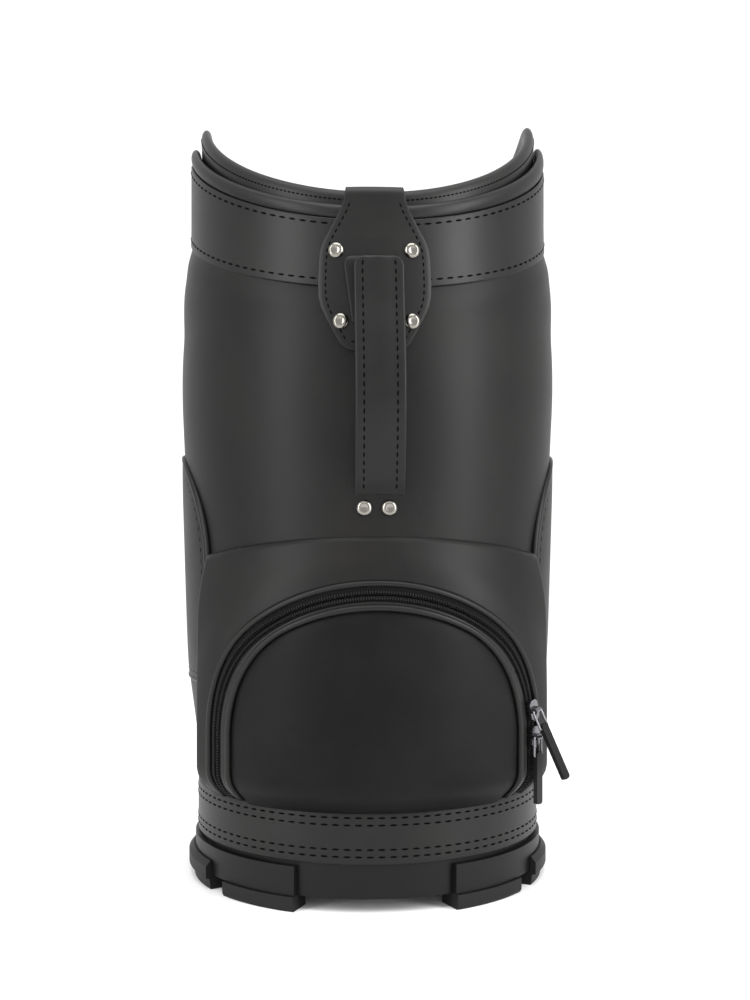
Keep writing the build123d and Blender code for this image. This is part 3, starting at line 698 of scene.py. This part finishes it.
class GOLFBAG_OT_handle(bpy.types.Operator):
    """Leather shield over the collar, the handle strap with its padding, and their rivets"""
    bl_idname = "golfbag.handle"
    bl_label = "Handle"

    def execute(self, context):
        low, bend, top = SHIELD_HEIGHTS
        face_r, inner_r = SHIELD_RADII
        rise, over, inside, stand = bend - low, 6.0, 15.0, 3.35
        flat = face_r - inner_r - 4

        def tab_line(run):
            """Radius and height along the tab: up its face, over the lip and down inside."""
            if run <= rise:
                z = low + run
                lean = max(0.0, (z - LEAN_FROM) / (bend - LEAN_FROM))
                return body_r(z) + stand + lean * (face_r - body_r(z) - stand), z
            run -= rise
            if run <= over:
                turn = run / over * pi / 2
                return face_r - 4 + 4 * cos(turn), bend + (top - bend) * sin(turn)
            run -= over
            if run <= flat:
                return face_r - 4 - run, top + 0.25 * sin(pi * run / flat)
            run -= flat
            return inner_r - 1.2 * sin(min(1, run / 4) * pi / 2), top - max(0, run)

        whole = rise + over + flat + inside

        def half(run):
            return between_points(SHIELD_EDGE, low + min(run, 130)) - 0.5

        def on_tab(run, across, out=0.0):
            radius, z = tab_line(run)
            return polar((across - 1.0) / face_r, radius + out, z)

        def place(u, v):
            run = whole * v
            return on_tab(run, (2 * u - 1) * half(run))

        leather(skin(22, 110, place), "shield", "shield_tab", thick=1.7, edge=0.55)

        def edge_line(side):
            return lambda t: on_tab(5 + 70 * t, side * (half(5 + 70 * t) - 3.6), 0.05)

        rows = stitch_row(edge_line(-1), 0, 1, 3.6) + stitch_row(edge_line(1), 0, 1, 3.6)
        rows += stitch_row(lambda t: on_tab(4.2, (2 * t - 1) * 12.0, 0.05), 0, 1, 3.6)
        stitches("shield_stitches", rows, 1.3, 0.42, 0.28)

        def strap(u, across, out):
            z, stand = smooth_line(HANDLE_LINE, u)
            ahead, behind = (smooth_line(HANDLE_LINE, min(1, max(0, u + step))) for step in (0.01, -0.01))
            y_line = [-(body_r(p.x) + p.y) for p in (ahead, behind)]
            along = Vector((0, y_line[0] - y_line[1], ahead.x - behind.x)).normalized()
            out_line = Vector((0, -abs(along.z), copysign(along.y, along.y) * (1 if along.z < 0 else -1)))
            near = min(1.0, (329.5 - z) / 5.0) if z > 324.5 else 1.0
            width = 1 - 0.36 * (1 - sqrt(max(0.0, 1 - (1 - near) ** 2)))
            place = Vector((across * width + 0.6 + 1.0 * u, -(body_r(z) + stand), z))
            return place + out_line.normalized() * out

        section = bar(-12.5, 12.5, 0.0, 2.7, 1.2, across=12)
        section = [(x, y + (0.9 * cos(x / 8.0 * pi / 2) if abs(x) < 8 and y > 1.5 else 0.0))
                   for x, y in section]
        leather(rod(section, 72, strap), "handle_grip", "handle_strap")
        rows = []
        for line in (-8.2, 8.2):
            rows += stitch_row(lambda u: strap(u, line, 2.75), 0.02, 0.95, 4.4)
        stitches("handle_stitches", rows, 1.6, 0.5, 0.32)

        def backing(u, across, out):
            z = 330.5 - 34.0 * u
            near = min(1.0, u * 5.0)
            round_off = sqrt(max(0.0, 1 - (1 - near) ** 2))
            width = (0.78 + 0.22 * round_off) * (1 - 0.27 * u)
            theta = (across * width + 0.6 * u) / 104.0
            return polar(theta, body_r(z) + 3.4 + out * (0.5 + 0.5 * round_off) * (1 - 0.75 * u * u), z)

        pad = leather(rod(bar(-17.4, 13.2, 0.0, 3.6, 1.7, across=10), 30, backing), "handle_backing",
                      "handle_pad", look=body_leather)
        nickel = polished_metal("Nickel plate, polished", "#85827c", 0.2)
        make_piece(merged(rivet(*spot) for spot in RIVETS), "rivet_heads", nickel, "nickel",
                   stands_for=("shield_rivets", "handle_rivets"))
        return {"FINISHED"}


def rivet(x, z, proud):
    """A domed rivet head with a dished middle, turned from a few points."""
    bm = bmesh.new()
    outline = ((0.0, 1.55), (1.7, 1.55), (2.05, 1.8), (2.6, 1.75), (3.5, 1.2), (4.05, 0.45), (4.1, 0.0),
               (3.6, -0.3), (0.0, -0.3))
    verts = [bm.verts.new((radius, 0, out)) for radius, out in outline]
    edges = [bm.edges.new(pair) for pair in zip(verts, verts[1:])]
    bmesh.ops.spin(bm, geom=verts + edges, cent=(0, 0, 0), axis=(0, 0, 1), angle=2 * pi, steps=24,
                   use_merge=True)
    bmesh.ops.remove_doubles(bm, verts=bm.verts, dist=1e-3)
    bmesh.ops.recalc_face_normals(bm, faces=bm.faces)
    radius = body_r(z) + proud
    theta = asin(x / radius)
    turn = Matrix.Rotation(theta, 4, "Z") @ Matrix.Rotation(pi / 2, 4, "X")
    bmesh.ops.transform(bm, matrix=Matrix.Translation(polar(theta, radius, z)) @ turn, verts=bm.verts)
    return bm


# ---------------------------------------------------------------- ball pocket
def gusset_reach(along):
    """How far the gusset goes from the track's edge to its own edge, and where."""
    s, z, across, up = track(along)
    s, z = abs(s + GUSSET_EDGE * across), z + GUSSET_EDGE * up
    across = abs(across)
    to_side = (POCKET_SIDE - s) / across if across > 1e-6 else 1e9
    to_hem = 1e9
    if up > 1e-6:
        to_hem = halve(0.0, 200.0, lambda reach: z + up * reach < hem((s + across * reach) / POCKET_R))[0]
    return min(to_side, to_hem), to_side < to_hem


class GOLFBAG_OT_ball_pocket(bpy.types.Operator):
    """Ball pocket: gusset, welt, zip, piping, door and lining"""
    bl_idname = "golfbag.ball_pocket"
    bl_label = "Ball pocket"

    def execute(self, context):
        corner = halve(TOP_RUN, TOP_RUN + SIDE_RUN, lambda along: not gusset_reach(along)[1])[1]
        inside, outside = 56, 48
        share = inside / (inside + outside) / 2

        def station(u):
            x = u - 0.5
            if abs(x) <= share:
                return x / share * corner
            return copysign(corner + (abs(x) - share) / (0.5 - share) * (TRACK_HALF - corner), x)

        def place(u, v):
            along = station(u)
            s, z, across, up = track(along)
            reach, _ = gusset_reach(along)
            spread, fold = min(1.0, v / 0.8), max(0.0, (v - 0.8) / 0.2)
            offset = GUSSET_EDGE + reach * spread
            s, z = s + across * offset, z + up * offset
            theta = s / POCKET_R
            radius = pocket_r(z)
            left = reach * (1 - spread)
            radius -= 1.3 * max(0.0, 1 - left / 3.0) ** 2
            radius += 0.5 * exp(-((reach * spread - 9) / 8.0) ** 2)
            inner = body_r(z) - 0.9
            radius = radius + (inner - radius) * fold
            return polar(theta, radius, z)

        leather(skin(inside + outside, 40, place), "pocket_gusset_leather", "pocket_gusset",
                look=body_leather, thick=1.6, edge=0.4)
        ends = TRACK_HALF

        def along_arch(offset, arch=ZIP_ARCH, start=-1.0, end=1.0):
            """A path beside an arch, between two shares of its half length."""
            def path(u, across, out):
                along = (start + (end - start) * u) * arch_runs(*arch)[3]
                return on_pocket(along, offset + across, out, arch)
            return path

        def between(outer, inner, start=-1.0, end=1.0):
            """A path that fills the room between the teeth and the door's arch."""
            def path(u, share, out):
                place = start + (end - start) * u
                near = beside(place * ends, outer(abs(place)))
                far = beside(place * DOOR_HALF, inner, DOOR_ARCH)
                return on_unrolled(*(a + (b - a) * share for a, b in zip(near, far)), out)
            return path

        def strip(inner, outer, rounding=0.3, tall=6.0):
            return [(across / tall, out) for across, out in bar(0, tall, inner, outer, rounding, across=3)]

        leather(rod(oval(1.55, 1.7, (0.0, -0.35)), 150, along_arch(5.95)), "pocket_welt_roll", "pocket_welt")
        leather(rod(oval(1.65, 1.75, (0.0, 0.35)), 150, along_arch(-5.95, DOOR_ARCH)), "door_piping_roll",
                "door_piping", blended=True)
        leather(rod(strip(-0.9, 0.05, 0.45), 150, between(lambda a: -3.1 - min(1.0, a * 1.6), -4.6)),
                "door_binding", blended=True)
        tape(rod(bar(0.3, 5.2, -2.1, -1.2, 0.3), 150, along_arch(0.0)), "zip_tape_body_side",
             "zip_tape_outer")
        limit = next(a / 10 for a in range(0, 2000) if track(a / 10)[1] < PARK_TOP)
        parted = limit / ends
        tape(rod(strip(-2.1, -1.2), 140, between(lambda a: -0.3, -5.2, -1.0, parted)), "zip_tape_door_side",
             "zip_tape_inner", blended=True)
        tape(rod(strip(-2.1, -1.2), 40, between(lambda a: -4.2, -5.2, parted, 1.0)), "zip_tape_door_foot",
             blended=True)
        tape(rod(bar(-3.9, -0.3, -2.2, -1.3, 0.3), 30, along_arch(0.0, ZIP_ARCH, parted + 0.003)),
             "zip_tape_parked")
        pitch = size("tooth_pitch")
        count = int(2 * ends / pitch)
        rows = {"outer": [], "inner": [], "parked": []}
        for number in range(count):
            for row, side in (("outer", 1), ("inner", -1)):
                along = -ends + pitch * (number + 0.25 + 0.25 * side)
                where = "parked" if side < 0 and along > limit else row
                spot = on_pocket(along, side * 1.55, -0.35)
                out = on_pocket(along, side * 1.55, 1.0) - spot
                start, end = (on_pocket(along, side * 2.0 + step, -0.35) for step in (-0.2, 0.2))
                rows[where].append((spot, end - start, out))
        tooth = (1.15, 0.5, 0.95)
        teeth(beads(rows["outer"], *tooth), "zip_teeth_body_side", "zip_coil_outer")
        teeth(beads(rows["inner"], *tooth), "zip_teeth_door_side", "zip_coil_inner", blended=True)
        teeth(beads(rows["parked"], *tooth), "zip_teeth_parked")

        edge = GUSSET_EDGE - 1.0        # the panel runs in under its piping
        apex = TOP_Z + TOP_R - edge
        leg, side_arc = DOOR_ARCH
        side_x = leg - side_arc

        def half_width(z):
            if z <= LEG_TOP:
                return leg - edge
            if z <= LEG_TOP + (side_arc - edge) * cos(DOOR_TURN):
                return side_x + sqrt(max(0.0, (side_arc - edge) ** 2 - (z - LEG_TOP) ** 2))
            return sqrt(max(0.0, (TOP_R - edge) ** 2 - (z - TOP_Z) ** 2))

        def inside_by(s, z):
            if z <= LEG_TOP:
                return leg - edge - s
            if s > side_x and atan2(z - LEG_TOP, s - side_x) < pi / 2 - DOOR_TURN:
                return side_arc - edge - hypot(s - side_x, z - LEG_TOP)
            return TOP_R - edge - hypot(s, z - TOP_Z)

        crown = size("door_crown")

        def panel(u, v):
            z = LEG_FOOT - 2.5 + (apex - LEG_FOOT + 2.5) * sin(v * pi / 2)
            s = sin((2 * u - 1) * pi / 2 * 0.98) / sin(pi / 2 * 0.98) * half_width(z)
            depth = max(0.0, inside_by(abs(s), z))
            lift = min(1.0, max(0.0, (z - 56) / 30.0))
            swell = crown * (1 - exp(-depth / 16.0)) * lift - 1.0 * exp(-depth / 2.2)
            cloud = 0.25 * noise.noise(Vector((s / 45.0, z / 45.0, 3.0)))
            return polar(s / POCKET_R, pocket_r(z) + swell + cloud, z)

        # The door panel takes the leather with painted shade.
        leather(skin(90, 60, panel), "door_panel", "pocket_door", look=door_leather_painted_shade, thick=1.8, edge=0.4,
                blended=True)
        back = -8.05

        def lining(u, v):
            theta = (2 * u - 1) * radians(53.5)
            z = 58 + (hem(theta) - 3 - 58) * v
            return polar(theta, body_r(z) + back + 0.7, z)

        lined(skin(60, 40, lining), "pocket_back_cloth", "pocket_lining", thick=0.7)
        return {"FINISHED"}


# ---------------------------------------------------------------- side pockets
class GOLFBAG_OT_side_pockets(bpy.types.Operator):
    """Side pockets with piped edges, stitching and zips"""
    bl_idname = "golfbag.side_pockets"
    bl_label = "Side pockets"

    def execute(self, context):
        p = SIDE_POCKET
        apex = p["arch_z"] + p["half"]

        def half_depth(z, inset=0.0):
            half = p["half"] - inset
            if z > p["arch_z"]:
                return sqrt(max(0.0, half ** 2 - (z - p["arch_z"]) ** 2))
            low = max(0.0, 8.0 - (z - p["low"] - inset))
            return half - (8.0 - sqrt(max(0.0, 64.0 - low ** 2)))

        def outline(t, inset=0.0):
            """Once round the pocket's edge, as y and z in the side view."""
            half, low, arch = p["half"] - inset, p["low"] + inset, p["arch_z"]
            runs = [half, arch - low, pi * half, arch - low, half]
            reach = t * sum(runs)
            corner = 8.0
            if reach <= runs[0]:
                y, z = reach, low
            elif reach <= sum(runs[:2]):
                y, z = half, low + reach - runs[0]
            elif reach <= sum(runs[:3]):
                turn = (reach - runs[0] - runs[1]) / half
                return half * cos(turn), arch + half * sin(turn)
            elif reach <= sum(runs[:4]):
                y, z = -half, arch - (reach - sum(runs[:3]))
            else:
                y, z = -half + reach - sum(runs[:4]), low
            near_y, near_z = corner - (half - abs(y)), corner - (z - low)
            if near_y > 0 and near_z > 0:
                span = hypot(near_y, near_z)
                if span > 1e-6:
                    y = copysign(half - corner + corner * near_y / span, y)
                    z = low + corner - corner * near_z / span
            return y, z

        for side, sign in (("left", -1), ("right", 1)):
            def place(u, v):
                z = p["low"] + (apex - p["low"]) * (v if v < 0.5 else 0.5 + 0.5 * sin((v - 0.5) * pi))
                y = sin((2 * u - 1) * pi / 2 * 0.97) / sin(pi / 2 * 0.97) * half_depth(z)
                depth = min(half_depth(z) - abs(y), z - p["low"], apex - z)
                swell = 0.7 * (1 - exp(-max(0.0, depth) / 10.0)) - 0.8 * exp(-max(0.0, depth) / 1.5)
                return on_side(y, z, swell, sign)

            bm = sheet(60, 50, place)
            middle = sign * (SIDE_ZIP_ANGLE)
            slit = 2.75 / 103.0
            cuts = [((0, 0, SIDE_ZIP[0] - 2), (0, 0, 1)), ((0, 0, SIDE_ZIP[1] + 2), (0, 0, 1))]
            for turn in (middle - slit, middle + slit):
                cuts.append(((0, 0, 0), tuple(polar(turn + pi / 2, 1.0, 0))))
            for point, normal in cuts:
                bmesh.ops.bisect_plane(bm, geom=bm.verts[:] + bm.edges[:] + bm.faces[:], plane_co=point,
                                       plane_no=normal, dist=1e-4)
            cut_away(bm, lambda spot: abs(atan2(spot.x, -spot.y) - middle) < slit
                     and SIDE_ZIP[0] - 2 < spot.z < SIDE_ZIP[1] + 2)
            face_out(bm)
            leather(bm, f"side_pocket_leather_{side}", f"side_pocket_{side}", look=body_leather, thick=1.5,
                    edge=0.35)

            def edging(u, across, out):
                y, z = outline(u)
                inner_y, inner_z = outline(u, 3.0)
                lean = Vector((inner_y - y, inner_z - z)).normalized()
                return on_side(y - lean.x * across, z - lean.y * across, out, sign)

            leather(rod(oval(1.5, 1.5, (-0.9, -0.9), 10), 170, edging), f"side_pocket_piping_{side}")

            def seam(u):
                y, z = outline(u, 5.0)
                return on_side(y, z, 0.15, sign)

            rows = stitch_row(seam, 0.0, 1.0, size("stitch_pitch"))
            stitches(f"side_pocket_stitches_{side}", rows, 1.7, 0.4, 0.3)

            def by_zip(u, across, out):
                z = SIDE_ZIP[0] - 2.5 + (SIDE_ZIP[1] - SIDE_ZIP[0] + 5) * u
                radius = side_r(z)
                return polar(middle + across / radius, radius + out, z)

            sections = [bar(row * 2.3 - 1.9, row * 2.3 + 1.9, -1.9, -1.1, 0.25) for row in (-1, 1)]
            tape(merged(rod(section, 20, by_zip) for section in sections),
                 f"side_zip_tape_{side}", f"side_zip_{side}")
            rows = []
            pitch = size("tooth_pitch")
            count = int((SIDE_ZIP[1] - SIDE_ZIP[0]) / pitch)
            for number in range(count):
                for row in (-1, 1):
                    share = (number + 0.5 + 0.25 * row) / count
                    spot = by_zip(share, row * 1.5, -0.35)
                    out = by_zip(share, row * 1.5, 1.0) - spot
                    rows.append((spot, by_zip(share, row * 1.5 + 0.3, -0.35) - spot, out))
            teeth(beads(rows, 1.1, 0.5, 0.9), f"side_zip_teeth_{side}")

            def lining(u, v):
                z = p["low"] + 3 + (apex - p["low"] - 6) * v
                y = (2 * u - 1) * max(0.5, half_depth(z) - 3)
                radius = body_r(z) - 7.35
                return Vector((sign * sqrt(radius ** 2 - y ** 2), y, z))

            lined(skin(30, 30, lining), f"side_pocket_cloth_{side}", f"side_lining_{side}", thick=0.6)
        return {"FINISHED"}


# ---------------------------------------------------------------- base
class GOLFBAG_OT_base(bpy.types.Operator):
    """Stitched leather band above the moulded cup"""
    bl_idname = "golfbag.base_band"
    bl_label = "Base band"

    def execute(self, context):
        def on_band(u, across, out):
            return polar(2 * pi * u, BASE_BAND_R + out, across)

        leather(rod(bar(25.2, BASE_TOP, 0.0, 1.9, 0.8, across=10), 160, on_band), "base_wrap", "base_band")
        rows = []
        for level in (29.2, 32.9, 45.2, 48.9):
            rows += stitch_row(lambda u: on_band(u, level, 1.93), 0.0, 1.0, size("stitch_pitch"))
        stitches("base_stitches", rows, size("stitch_long") / 2, 0.55, 0.34)
        return {"FINISHED"}


# ---------------------------------------------------------------- inside
class GOLFBAG_OT_inside(bpy.types.Operator):
    """Lining, divider and floor pad"""
    bl_idname = "golfbag.inside"
    bl_label = "Inside"

    def execute(self, context):
        def lining(u, v):
            theta = 2 * pi * u
            z = 18.0 + (saddle(BAND_TOP, theta) - 20 - 18.0) * v
            return polar(theta, body_r(z) - 9.3, z)

        lined(skin(120, 60, lining), "tube_cloth", "tube_lining", thick=0.6)
        divider_z, tall, thick = 298.0, 28.0, 9.0
        reach = 87.4

        def bar_along(axis, start, end):
            def path(u, across, out):
                run = start + (end - start) * u
                near = min(1.0, min(run - start, end - run) / 3.5)
                soft = 0.82 + 0.18 * sqrt(max(0.0, 1 - (1 - near) ** 2))
                ripple = 1 + 0.03 * sin(run / 7.5)
                point = (out * soft * ripple, run) if axis == "Y" else (run, out * soft * ripple)
                return Vector((*point, divider_z + across * soft))
            return path

        section = oval(tall / 2, thick / 2, count=20)
        section = [(copysign(abs(x / (tall / 2)) ** 0.7, x) * tall / 2,
                    copysign(abs(y / (thick / 2)) ** 0.8, y) * thick / 2) for x, y in section]
        bars = {"divider_main": ("Y", -reach, reach), "divider_left": ("X", -reach, -thick / 2 - 0.1),
                "divider_right": ("X", thick / 2 + 0.1, reach)}
        for node, (axis, start, end) in bars.items():
            pad = lined(rod(section, 50, bar_along(axis, start, end)), f"{node}_pad", node)

        def cushion(u, v):
            theta, radius = 2 * pi * u, 85.0 * sin(v * pi)
            crown = 2.2 * (1 - (radius / 85.0) ** 6)
            return polar(theta, radius, 20.4 + (crown if v > 0.5 else -crown))

        bm = sheet(72, 30, cushion)
        bmesh.ops.recalc_face_normals(bm, faces=bm.faces)
        pad = lined(bm, "floor_cushion", "floor_pad")
        return {"FINISHED"}


# ---------------------------------------------------------------- fittings
class GOLFBAG_OT_fittings(bpy.types.Operator):
    """Finishes on the moulded and metal pieces"""
    bl_idname = "golfbag.fittings"
    bl_label = "Fittings"

    def execute(self, context):
        plastic = moulded("Polypropylene, moulded base", shades().plastic, 0.42)
        rubber = moulded("Rubber, moulded feet", "#151515", 0.55, 0.4)
        tab = moulded("Moulded zip tab", "#101010", 0.35, 0.4)
        dark_metal = polished_metal("Gunmetal zinc casting", "#747477", 0.24)
        steel = polished_metal("Zinc-plated steel", "#8f8f8b", 0.35)
        board = woven("Fibreboard", "#3a3127", 0.6)
        finishes = {
            "base_cup": plastic, "base_guard_left": plastic, "base_guard_right": plastic, "tube": plastic,
            "collar_core": plastic, "base_screws": steel, "rivet_burrs": steel, "floor_board": board,
        }
        for side in ("left", "right"):
            for place in ("front", "side", "rear"):
                finishes[f"foot_{place}_{side}"] = rubber
        for name in ("upper", "lower", "side_left", "side_right"):
            finishes[f"{name}_slider"] = dark_metal
            finishes[f"{name}_pull_ring"] = dark_metal
            finishes[f"{name}_pull_tab"] = tab
        for node, material in finishes.items():
            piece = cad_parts[node]
            for slot in piece.material_slots:
                slot.link = "OBJECT"
                slot.material = material
            if not piece.material_slots:
                piece.data.materials.append(material)
        return {"FINISHED"}


# ---------------------------------------------------------------- stage
class GOLFBAG_OT_stage(bpy.types.Operator):
    """Floor, lights and camera"""
    bl_idname = "golfbag.stage"
    bl_label = "Stage"

    def execute(self, context):
        bm = bmesh.new()
        outline = [(-2.5, 0.0), (1.6, 0.0)]
        outline += [(1.6 + 0.8 * sin(t), 0.8 - 0.8 * cos(t))
                    for t in (pi / 2 * i / 10 for i in range(1, 11))]
        outline.append((2.4, 3.5))
        verts = [bm.verts.new((-4.0, y, z)) for y, z in outline]
        edges = [bm.edges.new(pair) for pair in zip(verts, verts[1:])]
        side = bmesh.ops.extrude_edge_only(bm, edges=edges)
        moved = [item for item in side["geom"] if isinstance(item, bmesh.types.BMVert)]
        bmesh.ops.translate(bm, vec=(8.0, 0, 0), verts=moved)
        bmesh.ops.recalc_face_normals(bm, faces=bm.faces)
        if sum(face.normal.z for face in bm.faces) < 0:
            bmesh.ops.reverse_faces(bm, faces=bm.faces)
        mesh = bpy.data.meshes.new("floor")
        bm.to_mesh(mesh)
        bm.free()
        mesh.shade_smooth()
        mesh.materials.append(matt_paint("Painted studio floor", shades().floor))
        floor = bpy.data.objects.new("floor", mesh)
        context.scene.collection.objects.link(floor)

        world = bpy.data.worlds.new("studio")
        world.use_nodes = True
        background = world.node_tree.nodes["Background"]
        background.inputs["Color"].default_value = linear("#ffffff")
        background.inputs["Strength"].default_value = 1.0
        context.scene.world = world
        context.scene.view_settings.view_transform = "Standard"
        aim = Vector((0, 0, 0.2))
        lamps = {
            "left_softbox": ((-0.95, -0.75, 0.55), (0.35, 1.2), 11.0),
            "right_softbox": ((1.0, -0.7, 0.6), (0.35, 1.2), 16.0),
            "top_softbox": ((0.0, -0.35, 1.5), (1.2, 1.0), 14.0),
        }
        for name, (place, (wide, tall), power) in lamps.items():
            light = bpy.data.lights.new(name, "AREA")
            light.shape, light.size, light.size_y, light.energy = "RECTANGLE", wide, tall, power
            lamp = bpy.data.objects.new(name, light)
            lamp.location = place
            lamp.rotation_euler = (aim - Vector(place)).to_track_quat("-Z", "Y").to_euler()
            context.scene.collection.objects.link(lamp)

        camera = bpy.data.cameras.new("camera")
        camera.sensor_width, camera.lens, camera.shift_x = 36.0, 47.5, 0.0075
        camera.sensor_fit = "AUTO"
        camera.clip_start = 0.05
        viewer = bpy.data.objects.new("camera", camera)
        turn = radians(-2.6)
        viewer.location = (0.76 * sin(turn), -0.76 * cos(turn), 0.209)
        viewer.rotation_euler = (pi / 2, 0, turn)
        context.scene.collection.objects.link(viewer)
        context.scene.camera = viewer
        return {"FINISHED"}


# ---------------------------------------------------------------- panel and start
OPERATORS = (
    GOLFBAG_OT_body, GOLFBAG_OT_collar, GOLFBAG_OT_handle, GOLFBAG_OT_ball_pocket,
    GOLFBAG_OT_side_pockets, GOLFBAG_OT_base, GOLFBAG_OT_inside, GOLFBAG_OT_fittings, GOLFBAG_OT_stage,
)


class GOLFBAG_PT_panel(bpy.types.Panel):
    """Sizes, colours and pieces of the golf bag"""
    bl_idname = "GOLFBAG_PT_panel"
    bl_label = "Golf Bag"
    bl_space_type = "VIEW_3D"
    bl_region_type = "UI"
    bl_category = "Golf Bag"

    def draw(self, context):
        for group in (context.scene.golf_bag_sizes, context.scene.golf_bag_colours):
            for name in group.bl_rna.properties.keys():
                if name not in ("rna_type", "name"):
                    self.layout.prop(group, name)
        for operator in OPERATORS:
            self.layout.operator(operator.bl_idname)


CLASSES = (GolfBagSizes, GolfBagColours, *OPERATORS, GOLFBAG_PT_panel)


def register():
    for item in CLASSES:
        bpy.utils.register_class(item)
    bpy.types.Scene.golf_bag_sizes = bpy.props.PointerProperty(type=GolfBagSizes)
    bpy.types.Scene.golf_bag_colours = bpy.props.PointerProperty(type=GolfBagColours)


def unregister():
    del bpy.types.Scene.golf_bag_colours
    del bpy.types.Scene.golf_bag_sizes
    for item in reversed(CLASSES):
        bpy.utils.unregister_class(item)


def main():
    register()
    bpy.ops.golfbag.stage()
    bpy.ops.golfbag.body()
    bpy.ops.golfbag.collar()
    bpy.ops.golfbag.handle()
    bpy.ops.golfbag.ball_pocket()
    bpy.ops.golfbag.side_pockets()
    bpy.ops.golfbag.base_band()
    bpy.ops.golfbag.inside()
    bpy.ops.golfbag.fittings()


if __name__ == "__main__":
    main()
